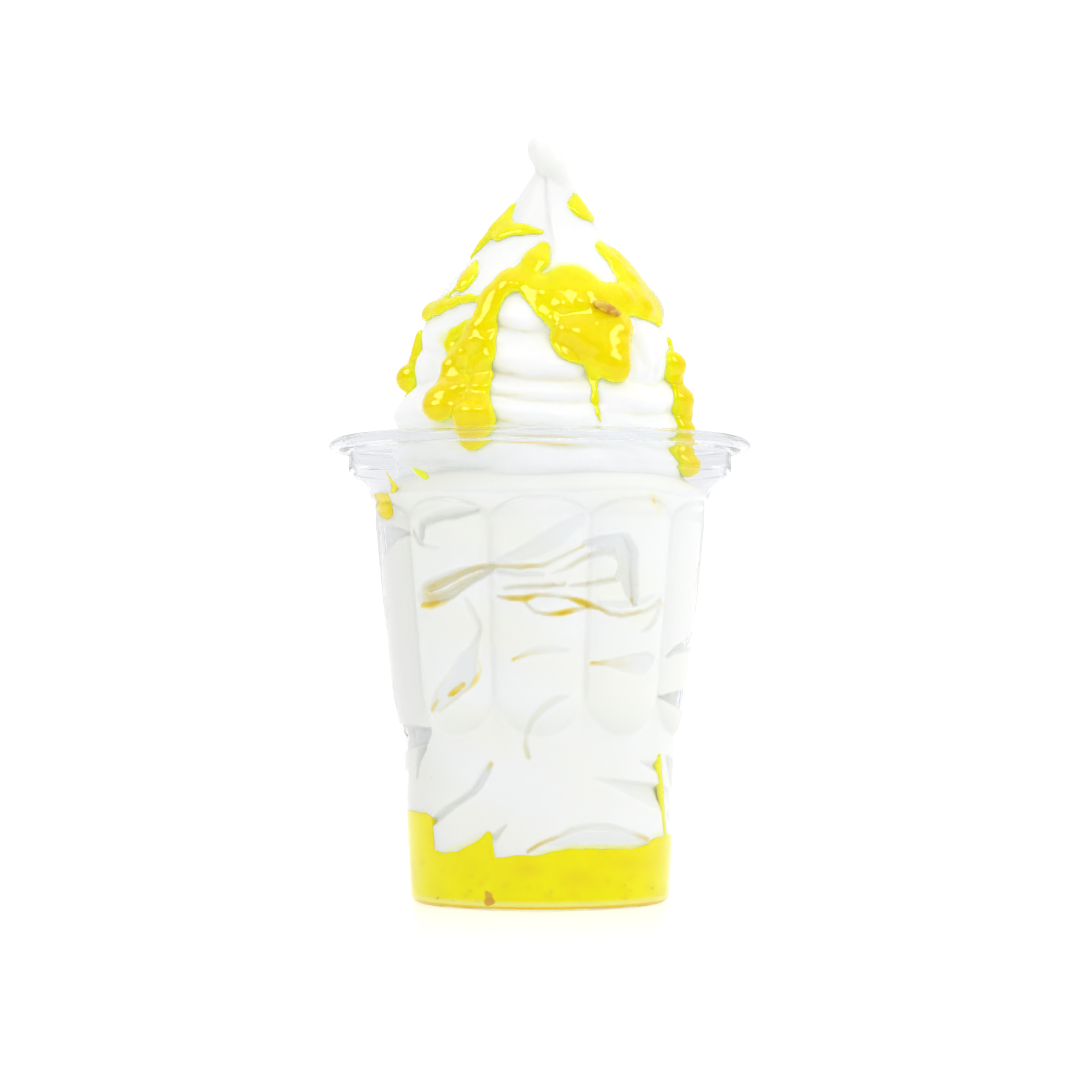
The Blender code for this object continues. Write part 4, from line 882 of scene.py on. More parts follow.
def yellow_sauce(name, shine):
    """Thick glossy sauce: lemon where thin, golden where thick, with faint cloudy patches."""
    finish, tree, shader = new_finish(name, IOR=1.45, Specular_IOR_Level=shine, Subsurface_Weight=0.12,
        Subsurface_Scale=0.0015, Subsurface_Radius=(1.0, 0.9, 0.1), Specular_Tint=(1.0, 0.97, 0.62, 1.0))
    colour = ramp(tree, read_value(tree, "thick"), SAUCE_STOPS)
    cloud = ramp(tree, noise(tree, 160.0, 3.0), CLOUD_STOPS)
    colour = mix_colour(tree, "MULTIPLY", 1.0, colour, cloud)
    # Blotches, the painted contact shadow at the bottom edge, and the paler colour painted at the foot
    for label, other in (("blotch_and_painted_shadow", BLOTCH_AND_SHADOW_COLOUR), ("foot", FOOT_PAINTED_LIGHT_COLOUR)):
        colour = mix_colour(tree, "MIX", read_value(tree, label), colour, other)
    tree.links.new(colour, shader.inputs["Base Color"])
    set_roughness(tree, shader, noise(tree, 300.0), 0.05, 0.1)
    add_bump(tree, shader, noise(tree, 420.0), 0.1, 0.0002)
    return finish


def plain_finish(name, light, dark, scale, roughness):
    """Mottled finish of two colours."""
    finish, tree, shader = new_finish(name, Roughness=roughness)
    colour = ramp(tree, noise(tree, scale, 3.0), ((0.35, dark), (0.65, light)))
    tree.links.new(colour, shader.inputs["Base Color"])
    add_bump(tree, shader, noise(tree, scale * 3.0), 0.3, 0.0002)
    return finish


# ---- cup ----

def quarter(middle, level, radius, start, end, steps):
    """Arc of profile points round a middle, between two angles in degrees from straight down."""
    turns = np.radians(np.linspace(start, end, steps))
    return [(middle + radius * math.sin(turn), level - radius * math.cos(turn)) for turn in turns]


def beside(radius, height, steps):
    """Profile points at steps out and up from a radius and a height."""
    return [(radius + outward, height + upward) for outward, upward in steps]


def cup_profile():
    """Closed section of the cup from the middle of its underside, up its outside and down its inside."""
    corner = LOWER_RADIUS - CORNER_RADIUS
    inner_corner = CORNER_RADIUS - WALL
    recess_top = FOOT_RECESS + WALL
    heights = np.concatenate([np.arange(*run) for run in (
        (CORNER_RADIUS + 1.2, STEP_HEIGHT - 0.8, 1.5), (STEP_HEIGHT - 0.6, STEP_HEIGHT + 12.0, 0.4),
        (STEP_HEIGHT + 12.6, SHOULDER_HEIGHT - 8.0, 1.2),
        (SHOULDER_HEIGHT - 7.4, SHOULDER_HEIGHT + 6.0, 0.5))])
    low, high = BEAD_GAP
    wall = [(float(wall_base(height)), height) for height in heights if not low < height < high]
    bead = [(SHOULDER_RADIUS + away, height) for away, height in LEDGE_BEAD]
    place = sum(height < LEDGE_BEAD[0][1] for _, height in wall)
    wall[place:place] = bead
    below = [(0.0, FOOT_RECESS), (FLAT_MIDDLE, FOOT_RECESS), (FOOT_INNER - 1.6, FOOT_RECESS),
        (FOOT_INNER - 0.9, FOOT_RECESS - 0.15), (FOOT_INNER - 0.3, 0.3), (FOOT_INNER + 0.3, 0.0),
        (corner - 0.8, 0.0)]
    outer = quarter(corner, CORNER_RADIUS, CORNER_RADIUS, 0.0, 90.0, 8)
    rim = beside(NECK_RADIUS, NECK_TOP, ((0.0, -3.0), (0.0, -0.6), (0.15, -0.15), (0.7, 0.1), (2.2, 0.45)))
    rim += beside(RIM_RADIUS, NECK_TOP, ((-0.9, 0.85), (-0.35, 1.15), (-0.05, 1.6)))
    rim += beside(RIM_RADIUS, RIM_HEIGHT, (
        (0.0, -1.9), (-0.15, -1.35), (-0.7, -0.75), (-1.7, -0.25), (-2.8, 0.0), (-3.7, -0.1)))
    rim += beside(NECK_RADIUS, RIM_HEIGHT, ((0.1, -0.55), (-0.3, -1.1), (-WALL, -1.9)))
    rim += [(NECK_RADIUS - WALL, NECK_TOP - 3.2)]
    inside = [(radius - WALL, height + 0.12 * (height > SHOULDER_HEIGHT)) for radius, height in wall[::-1]
        if (radius, height) not in bead]
    inner = quarter(corner, CORNER_RADIUS, inner_corner, 90.0, 0.0, 6)
    floor = beside(FOOT_INNER, CORNER_RADIUS - inner_corner, ((0.4, 0.0), (-0.2, 0.3)))
    floor += beside(FOOT_INNER, recess_top, ((-0.9, -0.1), (-1.8, 0.0)))
    floor += [(FLAT_MIDDLE, recess_top), (0.0, recess_top)]
    return below + outer + wall + rim + inside + inner + floor


def rim_hollow():
    """Section of the space inside the rolled rim, run the other way round so that its faces look into it."""
    foot = beside(NECK_RADIUS, NECK_TOP, ((0.6, 0.75),))
    left = beside(NECK_RADIUS, RIM_HEIGHT, ((0.35, -1.5), (0.9, -0.9)))
    top = beside(RIM_RADIUS, RIM_HEIGHT, ((-2.8, -0.5), (-1.6, -0.85), (-0.65, -1.5)))
    right = beside(RIM_RADIUS, NECK_TOP, ((-0.55, 1.7), (-1.1, 1.3)))
    return foot + left + top + right + beside(NECK_RADIUS, NECK_TOP, ((2.2, 1.0),)) + foot


def make_cup(finish):
    """Clear cup, spun from its section by a tree of nodes, with the space inside its rolled rim."""
    tree = spin_tree()
    sizes = {
        "Steps": CUP_STEPS, "Petals": PETALS, "Relief": PETAL_RELIEF * MM, "Half angle": PETAL_HALF_ANGLE,
        "Lower end": (STEP_HEIGHT - PETAL_DIP + PETAL_END) * MM, "Lower reach": PETAL_END * MM,
        "Upper end": (SHOULDER_HEIGHT - PETAL_TOP_GAP - PETAL_TOP_END) * MM,
        "Upper reach": PETAL_TOP_END * MM, "Finish": finish}
    shells = []
    for name, profile in (("cup_shell", cup_profile()), ("rim_space", rim_hollow())):
        line = line_mesh(name, [(radius * MM, 0.0, height * MM) for radius, height in profile])
        shells.append(run_tree(name, line, tree, finish, sizes))
    shells[1].data.flip_normals()
    return join_pieces("clear_cup", shells)


# ---- ice cream against the wall ----

def line_share(azimuth, height, radius, places):
    """For each point: nearest distance to a line of places as a share of its half width, the side it is on
    (above is positive), and the depth there."""
    nearest = np.full(np.broadcast(azimuth, height).shape, FAR)
    side, depth = np.zeros_like(nearest), np.zeros_like(nearest)
    for start, end in zip(places, places[1:]):
        along_u = radius * math.radians(end[0] - start[0])
        along_v = end[1] - start[1]
        point_u = radius * np.radians(turn_between(azimuth, start[0]))
        point_v = height - start[1]
        share = np.clip((point_u * along_u + point_v * along_v) / (along_u ** 2 + along_v ** 2), 0.0, 1.0)
        width = start[2] + (end[2] - start[2]) * share
        away_u, away_v = point_u - share * along_u, point_v - share * along_v
        away = np.hypot(away_u, away_v) / width
        closer = away < nearest
        nearest = np.where(closer, away, nearest)
        rising = np.sign(along_u) if along_u else 1.0
        side = np.where(closer, np.sign(along_u * away_v - along_v * away_u) * rising, side)
        depth = np.where(closer, start[3] + (end[3] - start[3]) * share, depth)
    return nearest, side, depth


def line_on_wall(azimuth, height, places):
    """The same for a line on the wall, whose radius is taken at the middle of the line."""
    radius = float(wall_base(np.mean([place[1] for place in places]))) + 1.0
    return line_share(azimuth, height, radius, places)


def mark_form(kind, share, side):
    """Form of a mark, from 0 at its edge to 1 where it is deepest."""
    if kind == "pocket":
        return smooth((1.12 - share) / 0.4)
    if kind == "crease":
        return np.sqrt(np.clip(1.0 - share, 0.0, 1.0)) * smooth((1.0 - share) / 0.3)
    if kind == "dip":
        return smooth(1.0 - share)
    inward = side < 0.0 if kind == "lip" else side > 0.0
    return np.where(inward, smooth(1.0 - share), smooth(1.0 - share * 8.0))


def wall_marks(azimuth, height):
    """Depth of the folds and air gaps against the wall, the shade painted into the hollows, and the stain of
    old sauce.
    """
    depth = np.zeros(np.broadcast(azimuth, height).shape)
    painted_shade, stain = np.zeros_like(depth), np.zeros_like(depth)
    for kind, shade, places in WALL_MARKS:
        share, side, most = line_on_wall(azimuth, height, places)
        if kind == "press":
            keep = smooth((share - 0.75) / 0.4)
            depth, painted_shade = depth * keep, painted_shade * keep
        else:
            form = mark_form(kind, share, side)
            depth = np.maximum(depth, most * form)
            # Painted shade in the hollow of each mark
            painted_shade = np.maximum(painted_shade, shade * form)
    uneven = 0.86 + 0.22 * wobble(azimuth * 6.0, height * 3.0, 31)
    for places in STAIN_LINES:
        share, _, strength = line_on_wall(azimuth, height, places)
        stain = np.maximum(stain, strength * uneven * smooth(1.35 - share * 0.9))
    return depth * MARK_DEPTH, painted_shade, stain


def wall_contact(azimuth, height):
    """Radius of the ice cream against the wall: eased over the petals' edges, and always inside the wall."""
    inner = inner_radius(azimuth, height)
    eased = np.zeros(inner.shape)
    for turn in (-2.4, -1.2, 0.0, 1.2, 2.4):
        for rise in (-1.6, 0.0, 1.6):
            eased += inner_radius(azimuth + turn, np.minimum(height + rise, SHOULDER_HEIGHT)) / 15.0
    return np.clip(eased + CREAM_REACH, inner + 0.05, inner + 0.32)


def finer_in_front(steps, share):
    """Azimuths once round, that many times closer together in front than behind."""
    place = np.linspace(-180.0, 180.0, 3601)
    dense = 1.0 + (share - 1.0) * smooth((112.0 - np.abs(place)) / 16.0)
    run = np.concatenate(([0.0], np.cumsum((dense[1:] + dense[:-1]) / 2.0)))
    return np.interp(np.arange(steps) / steps, run / run[-1], place)


def make_cream_in_cup(finish):
    """Ice cream against the wall, which reaches just into it except where folds and air gaps leave it."""
    azimuth = finer_in_front(CREAM_STEPS, 2.4)[None, :]
    height = np.linspace(CREAM_BOTTOM, CREAM_TOP, CREAM_ROWS)[:, None]
    contact = wall_contact(azimuth, np.minimum(height, SHOULDER_HEIGHT))
    depth, painted_shade, stain = wall_marks(azimuth, height)
    leaves = LEAVES_WALL + 0.9 * wobble(azimuth, 0.0, 5)
    away = smooth((height - leaves) / (CREAM_TOP - leaves))
    radius = contact - depth - 0.05 * np.abs(wobble(azimuth, height, 8)) * smooth(depth * 2.0)
    radius = radius + (plain_radius(height) - 0.5 - radius) * away
    rings = round_to_flat(azimuth, radius, height)
    points, faces = barrel(rings, (0.0, 0.0, CREAM_BOTTOM), (0.0, 0.0, CREAM_TOP))
    tint = np.zeros(depth.shape)
    for places in TINGES:
        share, _, strength = line_share(azimuth, height, LOWER_RADIUS, places)
        tint = np.maximum(tint, strength * smooth(1.2 - share))
    # Painted shade at the round lower ends of the petals, darkest at their bottom edge
    under = np.clip((STEP_HEIGHT + PETAL_END + 2.0 - height) / PETAL_END, 0.0, 1.0)
    petal = smooth(petal_relief(azimuth, height) / PETAL_RELIEF * 3.0)
    painted_shade = np.maximum(painted_shade, 0.5 * under ** 1.5 * petal)
    stain = np.maximum(stain, 0.09 + 0.04 * wobble(azimuth, height, 37))
    # Painted shade over all the ice cream in the cup, stronger on its left side
    left = smooth((-azimuth - 26.0) / 40.0) * smooth((azimuth + 150.0) / 30.0)
    painted_shade = np.maximum(painted_shade, 0.06 + 0.66 * left)
    rows = {"stain": stain, "painted_shade": painted_shade, "tint": tint}
    values = {label: np.concatenate((row.ravel(), (0.0, 0.0))) for label, row in rows.items()}
    return new_piece("cream_in_cup", points, faces, finish, values)


# ---- sauce under the ice cream ----

def make_lower_sauce(finish):
    """Sauce that fills the floor of the cup up to its jagged edge, and reaches just into the wall."""
    azimuth = (np.arange(SAUCE_STEPS) * 360.0 / SAUCE_STEPS)[None, :]
    edge = read_round(SAUCE_EDGE, azimuth) + 0.12 * wobble(azimuth * 5.0, 0.0, 21)
    corner = LOWER_RADIUS - CORNER_RADIUS
    below = [(0.3, SAUCE_FLOOR), (FLAT_MIDDLE, SAUCE_FLOOR), (FOOT_INNER - 1.8, SAUCE_FLOOR),
        (FOOT_INNER - 0.2, 0.7), (FOOT_INNER + 0.8, 0.42)]
    below += quarter(corner, CORNER_RADIUS, CORNER_RADIUS - WALL + SAUCE_REACH * 0.5, 0.0, 80.0, 6)
    rows = [round_to_flat(azimuth, np.full_like(azimuth, radius), height) for radius, height in below]
    for share in np.linspace(0.0, 1.0, 34)[1:]:
        height = CORNER_RADIUS + (edge - CORNER_RADIUS) * share
        radius = inner_radius(azimuth, height) + SAUCE_REACH * min(1.0, 0.5 + share * 4.0)
        rows.append(round_to_flat(azimuth, radius, height))
    top_radius = inner_radius(azimuth, edge)
    for inward, lower in ((0.1, -0.16), (0.35, -0.06), (1.2, 0.1), (3.0, 0.1), (8.0, 0.5)):
        rows.append(round_to_flat(azimuth, top_radius - inward, edge - lower))
    points, faces = barrel(np.concatenate(rows), (0.0, 0.0, SAUCE_FLOOR), (0.0, 0.0, SAUCE_MIDDLE))
    height = points[:, 2]
    turn = np.degrees(np.arctan2(points[:, 0], -points[:, 1]))
    thick = 0.45 + 0.12 * smooth((height - 3.0) / 8.0)
    blotch_and_painted_shadow = np.zeros(len(points))
    for spot in BLOTCHES:
        away = away_from(spot, turn, height, LOWER_RADIUS)
        blotch_and_painted_shadow = np.maximum(blotch_and_painted_shadow, min(1.0, 1.25 * spot[4]) * np.exp(-1.2 * away))
    # Paler colour painted in a band at the foot, standing in for light let through by the cup's foot
    foot = 0.6 * smooth((2.5 - height) / 1.3) * smooth((height - 0.9) / 0.3)
    # Painted contact shadow along the sauce's bottom edge, in the blotch colour
    blotch_and_painted_shadow = np.maximum(blotch_and_painted_shadow, 0.9 * smooth((1.1 - height) / 0.3))
    return new_piece("sauce_below", points, faces, finish, {"thick": thick, "blotch_and_painted_shadow": blotch_and_painted_shadow, "foot": foot})


# ---- swirl ----

# Film of sauce on the swirl, and old sauce in it: azimuth, height, reach along and up, strength
SMEARS = ((2, 143.6, 4.5, 2.6, 0.55), (14, 144.4, 6.5, 2, 0.7), (26, 142.4, 4, 1.8, 0.6),
    (-2, 148.8, 2.4, 2.2, 0.55), (45, 149.8, 2.6, 2.4, 0.7), (54, 151.8, 2.4, 1.6, 0.6),
    (50, 145.4, 3, 3, 0.5), (-60, 139, 4, 1.6, 0.4), (57, 161.6, 2.4, 2.4, 0.5),
    (-47, 128.6, 3.6, 3.2, 0.55))
SWIRL_STAINS = ((-4, 104.8, 6, 0.5, 0.75), (8, 103.8, 5, 0.5, 0.6), (-12, 114.8, 5, 0.4, 0.35),
    (-14, 109.2, 3, 0.6, 0.35), (-16, 119.8, 4, 0.5, 0.3), (8, 118.8, 5, 0.4, 0.2))
# Radius of the swirl at which the reach of the film and of the old sauce is measured
SMEAR_RADIUS, STAIN_RADIUS = 22.0, 32.0
# Where the swirl is closed below and above, and where the curl begins
SWIRL_FOOT, SWIRL_TOP, CURL_FROM = 96.2, 178.3, 162.0
# Grid round the swirl, and how far from its outline the folds are worked out
GRID_LOW, GRID_HIGH = (-41.0, -41.0, 95.0), (41.0, 41.0, 179.5)
FOLDS_WITHIN = 9.0


def plain_radius(height):
    """Radius of the swirl's outline as the table gives it."""
    return np.interp(height, [row[0] for row in SWIRL], [row[1] for row in SWIRL])


def creases_at(azimuth, height):
    """For each crease in turn: how far above it each point is, its depth there, and the width of the fold."""
    waves = 0.8 * wobble(azimuth, 0.0, 17)
    ripples = 0.3 * wobble(azimuth * 3.0, 0.0, 23)
    uneven = 0.9 + 0.3 * wobble(azimuth * 2.0, 0.0, 29)
    for places in CREASES.values():
        turns, levels, depths, widths = np.transpose(places).astype(float)
        middle = (turns[0] + turns[-1]) / 2.0
        place = middle + turn_between(azimuth, middle)
        edge = np.maximum(turns[0] - place, place - turns[-1])
        depth = np.interp(place, turns, depths) * smooth(1.0 - edge / 8.0) * uneven
        away = height - np.interp(place, turns, levels) - waves - ripples
        yield away, depth, np.interp(place, turns, widths)


def crease_depth(azimuth, height):
    """Depth of the creases: the fold above rounds in under itself, and the one below comes straight out."""
    total = np.zeros(np.broadcast(azimuth, height).shape, np.float32)
    for away, depth, width in creases_at(azimuth, height):
        share = np.minimum(np.abs(away) / np.where(away > 0.0, width * 1.1, 1.0 + width * 0.3), 1.0)
        cusp = 1.0 - np.sqrt(np.clip(1.0 - (1.0 - share) ** 2, 0.0, 1.0))
        form = 0.5 * cusp + 0.5 * smooth(1.0 - share)
        total = np.maximum(total, (0.9 * depth * form).astype(np.float32))
    return total


def fold_shade(azimuth, height):
    """Shade to paint under each fold, which ends at its crease, and a warm line along the crease."""
    shade = np.zeros(np.broadcast(azimuth, height).shape)
    line = np.zeros_like(shade)
    for away, depth, width in creases_at(azimuth, height):
        share = np.clip(1.0 - away / (width * 1.1), 0.0, 1.0) ** 1.4
        form = np.where(away > 0.0, share, smooth(1.0 + away / 0.5))
        full = np.minimum(depth / 2.0, 1.0)
        shade = np.maximum(shade, form * full)
        line = np.maximum(line, np.exp(-(away / 0.45) ** 2) * full)
    return shade, line


def line_on_swirl(azimuth, height, places):
    """Share of the way out from an upright line, and its depth; its places hold depth before half width."""
    swapped = [(turn, level, width, depth) for turn, level, depth, width in places]
    radius = float(plain_radius(np.mean([place[1] for place in places])))
    share, _, depth = line_share(azimuth, height, radius, swapped)
    return share, depth


def upright_depth(azimuth, height):
    """Depth of the upright creases of the swirl."""
    total = np.zeros(np.broadcast(azimuth, height).shape, np.float32)
    for places in UPRIGHTS.values():
        share, depth = line_on_swirl(azimuth, height, places)
        total = np.maximum(total, (depth * smooth(1.0 - share)).astype(np.float32))
    return total


def ridge_depth(azimuth, height):
    """Depth of the recesses to the left of the ridges on the cone."""
    total = np.zeros(np.broadcast(azimuth, height).shape, np.float32)
    for places in RIDGES.values():
        share, depth = line_on_swirl(azimuth, height, places)
        rising = np.array(places[::-1], float)
        left = turn_between(azimuth, np.interp(height, rising[:, 1], rising[:, 0])) < 0.0
        form = np.where(left, smooth(1.0 - share) ** 0.8, smooth(1.0 - share * 7.0))
        total = np.maximum(total, (depth * form).astype(np.float32))
    return total


def lobe_height(azimuth, height, radius):
    """How far the rounded lobes stand out."""
    total = np.zeros(np.broadcast(azimuth, height).shape, np.float32)
    for lobe in LOBES:
        total = total + (lobe[4] * smooth(1.0 - away_from(lobe, azimuth, height, radius))).astype(np.float32)
    return total


def swirl_outline(height):
    """Radius of the swirl and the shift of its middle at a height, eased over a few millimetres."""
    table = np.array(SWIRL)
    levels = [height + away for away in (-1.6, -0.8, 0.0, 0.8, 1.6)]
    return [sum(np.interp(level, table[:, 0], table[:, column]) for level in levels) / len(levels)
        for column in (1, 2)]


def swirl_radius(azimuth, height):
    """Radius of the folded swirl at azimuth and height."""
    radius, _ = swirl_outline(height)
    uneven = 0.35 * wobble(azimuth, height, 11) * smooth((150.0 - height) / 20.0)
    full = radius + uneven + lobe_height(azimuth, height, radius) - crease_depth(azimuth, height)
    return full - upright_depth(azimuth, height) - ridge_depth(azimuth, height)


def ball_chain(points, chain):
    """Distance to a chain of balls joined by cones, each ball as x, y, height, radius."""
    nearest = None
    for start, end in zip(chain, chain[1:]):
        share, away = along_link(points, np.array(start[:3]), np.array(end[:3]))
        distance = np.linalg.norm(away, axis=-1) - (start[3] + (end[3] - start[3]) * share)
        nearest = distance if nearest is None else np.minimum(nearest, distance)
    return nearest


def blend_nearest(first, second, reach):
    """Lower of two distances, eased where they are alike."""
    share = np.clip(0.5 + 0.5 * (second - first) / reach, 0.0, 1.0)
    return second + (first - second) * share - reach * share * (1.0 - share)


def droop_of(radius, height):
    """How far the folds hang: the further out, the lower."""
    fade = 1.0 - smooth((height - DROOP_FADE[0]) / (DROOP_FADE[1] - DROOP_FADE[0]))
    return DROOP * fade * np.clip(radius - swirl_outline(height)[0] + 1.6, -1.0, 3.2)


def swirl_grid():
    """Grid round the swirl: its low corner, its rows of x, y and z, and the ice cream's field on it."""
    low = np.array(GRID_LOW)
    counts = np.ceil((np.array(GRID_HIGH) - low) / NET_CELL).astype(int) + 1
    axes = [low[axis] + NET_CELL * np.arange(counts[axis]) for axis in range(3)]
    x, y, z = np.meshgrid(*axes, indexing="ij", sparse=True)
    outline, shift = swirl_outline(z)
    away_x = x - shift
    radius = np.hypot(away_x, y).astype(np.float32)
    azimuth = np.degrees(np.arctan2(away_x, -y)).astype(np.float32)
    level = (z + droop_of(radius, z)).astype(np.float32)
    near = np.abs(radius - outline) < FOLDS_WITHIN
    field = (radius - outline).astype(np.float32)
    field[near] = radius[near] - swirl_radius(azimuth[near], level[near])
    return low, (x, y, z), field


def add_tip(field, grid):
    """Adds the curl at the tip, and closes the ice cream above and below."""
    x, y, z = grid
    top = int(np.searchsorted(z.ravel(), CURL_FROM))
    upper = np.stack(np.broadcast_arrays(x, y, z[..., top:]), axis=-1)
    curl = ball_chain(upper, TIP_CURL)
    field[..., top:] = blend_nearest(field[..., top:], curl.astype(np.float32), 1.1)
    field = np.maximum(field, (z - SWIRL_TOP).astype(np.float32))
    return np.maximum(field, (SWIRL_FOOT - z).astype(np.float32))


def make_swirl(finish):
    """Folded swirl of soft serve above the cup. Returns the piece, and the grid for the sauce on it."""
    low, grid, field = swirl_grid()
    field = add_tip(field, grid)
    points, faces = net_of(field, low, NET_CELL)
    height = points[:, 2]
    away_x = points[:, 0] - swirl_outline(height)[1]
    turn = np.degrees(np.arctan2(away_x, -points[:, 1]))
    tint = 0.6 * smooth((1.28 - sauce_nearness(points)) / 0.35)
    for spot in SMEARS:
        tint = np.maximum(tint, spot[4] * smooth(1.0 - away_from(spot, turn, height, SMEAR_RADIUS)))
    stain = np.zeros(len(points))
    for spot in SWIRL_STAINS:
        stain = np.maximum(stain, spot[4] * np.exp(-0.9 * away_from(spot, turn, height, STAIN_RADIUS)))
    shade, line = fold_shade(turn, height + droop_of(np.hypot(away_x, points[:, 1]), height))
    stain = np.maximum(stain, 0.3 * line * (0.7 + 0.5 * wobble(turn * 3.0, height, 41)))
    # Painted shade under each fold, and painted shade that darkens the swirl from 141 mm upwards
    painted_shade = np.maximum(0.38 * shade, 0.45 * smooth((height - 141.0) / 16.0))
    values = {"tint": tint, "stain": stain, "painted_shade": painted_shade}
    return new_piece("cream_swirl", points, faces, finish, values), (low, grid, field)


# ---- thick sauce ----

def on_swirl(azimuth, height):
    """Point on the smooth swirl."""
    radius, shift = swirl_outline(height)
    turn = math.radians(azimuth)
    return np.array((shift + radius * math.sin(turn), -radius * math.cos(turn), height))


def sauce_links():
    """Each stretch of thick sauce between two lumps, as point, half width and lift at both ends."""
    links = []
    for strand in THICK_SAUCE.values():
        lumps = [(on_swirl(azimuth, height), width, lift) for azimuth, height, width, lift in strand]
        links += list(zip(lumps, lumps[1:]))
    return links


def sauce_nearness(points):
    """Nearest distance to the thick sauce's line as a share of its half width."""
    nearest = np.full(len(points), FAR)
    for (start, start_width, _), (end, end_width, _) in sauce_links():
        share, away = along_link(points, start, end)
        width = start_width + (end_width - start_width) * share
        nearest = np.minimum(nearest, np.linalg.norm(away, axis=1) / width)
    return nearest


def outward_at(point):
    """Level direction from the cup's axis to a point, as a unit."""
    return point * (1, 1, 0) / np.linalg.norm(point[:2])


def sauce_window(grid, first, second, reach):
    """Part of the grid round two points: its slices, and its points."""
    box = []
    for axis, low, high in zip(grid, np.minimum(first, second), np.maximum(first, second)):
        start, end = np.searchsorted(axis.ravel(), (low - reach, high + reach))
        box.append(slice(max(0, int(start)), int(end) + 1))
    x, y, z = grid
    points = np.stack(np.broadcast_arrays(x[box[0]], y[:, box[1]], z[..., box[2]]), axis=-1)
    return tuple(box), points


def link_distance(points, cream, start, end):
    """Distance outside one stretch of thick sauce, which follows the ice cream under it."""
    (start_at, start_width, start_lift), (end_at, end_width, end_lift) = start, end
    share, apart = along_link(points, start_at, end_at)
    width = start_width + (end_width - start_width) * share
    lift = start_lift + (end_lift - start_lift) * share
    outward = outward_at(start_at) + outward_at(end_at)
    outward /= np.linalg.norm(outward)
    flat = np.linalg.norm(apart - (apart @ outward)[..., None] * outward, axis=-1)
    above = cream - 0.28 * lift
    tall = np.where(above > 0.0, 0.72 * lift, 0.9 * lift + 1.6)
    shape = np.sqrt((flat / width) ** 2 + (above / tall) ** 2)
    return (shape - 1.0) * np.minimum(width, 0.72 * lift)


def bead_distance(points, cream, centre, size, lift):
    """Distance outside a round lump in the thick sauce."""
    outward = outward_at(centre)
    away = points - centre
    flat = np.linalg.norm(away - (away @ outward)[..., None] * outward, axis=-1)
    return np.sqrt(flat ** 2 + ((cream - lift) * 1.1) ** 2) - size


def make_thick_sauce(finish, swirl):
    """Thick sauce that lies over the folds with full rounded edges and small lumps in it."""
    low, grid, cream = swirl
    field = np.full(cream.shape, SAUCE_OUTSIDE, np.float32)
    for start, end in sauce_links():
        reach = max(start[1], end[1]) + max(start[2], end[2]) + 1.5
        box, points = sauce_window(grid, start[0], end[0], reach)
        distance = link_distance(points, cream[box], start, end)
        field[box] = blend_nearest(field[box], distance.astype(np.float32), 0.9)
    for azimuth, height, size, lift in BEADS:
        centre = on_swirl(azimuth, height)
        box, points = sauce_window(grid, centre, centre, size + lift + 2.0)
        distance = bead_distance(points, cream[box], centre, size, lift)
        field[box] = blend_nearest(field[box], distance.astype(np.float32), 0.7)
    field = np.maximum(field, -cream - SAUCE_SINK)
    field[..., 0] = SAUCE_OUTSIDE
    points, faces = net_of(field, low, NET_CELL)
    index = np.clip(np.rint((points - low) / NET_CELL).astype(int), 0, np.array(field.shape) - 1)
    thick = smooth(cream[tuple(index.T)] / 3.2)
    return new_piece("thick_sauce", points, faces, finish, {"thick": thick})


# ---- small things ----

# Thin runs of sauce on the wall: azimuth, height, half width; then how golden each is
WALL_STRANDS = {
    "streak": ((59.4, 34.4, 0.6), (59.4, 33, 1.25), (60.3, 30.6, 1.3), (62.5, 27.4, 1.2), (64.4, 23.8, 1),
        (66.3, 20.4, 1), (68.4, 17.2, 1.2), (71, 14.8, 1.4)),
    "green_spot": ((-40.9, 98.4, 0.2), (-39.9, 97.7, 0.75), (-38.9, 97, 1.05), (-38, 96.2, 0.5)),
    "shoulder_bit": ((-53.4, 98.2, 0.2), (-54.4, 97.2, 0.35), (-56, 96.3, 0.95), (-56.8, 95.3, 1.3),
        (-57.8, 94.4, 0.9), (-59.6, 93.8, 0.4)),
}
STRAND_THICK = {"streak": 0.14, "shoulder_bit": 0.8, "green_spot": 0.0}
# Dabs of sauce on the wall, each with its outline as azimuth and height
WALL_PATCHES = {
    "chunk": ((-62.6, 93.4), (-62.2, 91), (-61.4, 88.2), (-66, 87.6), (-72, 88.6), (-77, 91.4), (-78, 93.8),
        (-70, 94)),
}
# Heights in metres between which the lower sauce holds grains of spice
SPECK_BAND = (0.001, 0.011)


def on_wall(azimuth, height, reach):
    """Points in millimetres that far outside the cup's inner face."""
    return round_to_flat(azimuth, inner_radius(azimuth, height) + reach, height)


def soft_line(places, steps=5):
    """Places with points between them on a smooth line."""
    knots = np.array(places, float)
    spread = np.arange(len(knots))
    fine = np.linspace(0, len(knots) - 1, (len(knots) - 1) * steps + 1)
    columns = [np.interp(fine, spread, knots[:, column]) for column in range(knots.shape[1])]
    kernel = np.array((0.25, 0.5, 0.25))
    for column in columns:
        for _ in range(3):
            column[1:-1] = np.convolve(column, kernel, "same")[1:-1]
    return np.transpose(columns)


def make_wall_strands(finish):
    """Thin runs of sauce between the ice cream and the wall."""
    tree = strand_tree()
    made = []
    for name, places in WALL_STRANDS.items():
        fine = soft_line(places)
        points = [on_wall(azimuth, height, 0.46 - 0.6 * width) * MM for azimuth, height, width in fine]
        line = line_mesh(name, points, {"half_width": fine[:, 2] * MM})
        strand = run_tree(name, line, tree, finish, {"Sides": 16, "Thickness": 0.6, "Finish": finish})
        store_value(strand.data, "thick", np.full(len(strand.data.vertices), STRAND_THICK[name]))
        made.append(strand)
    return made


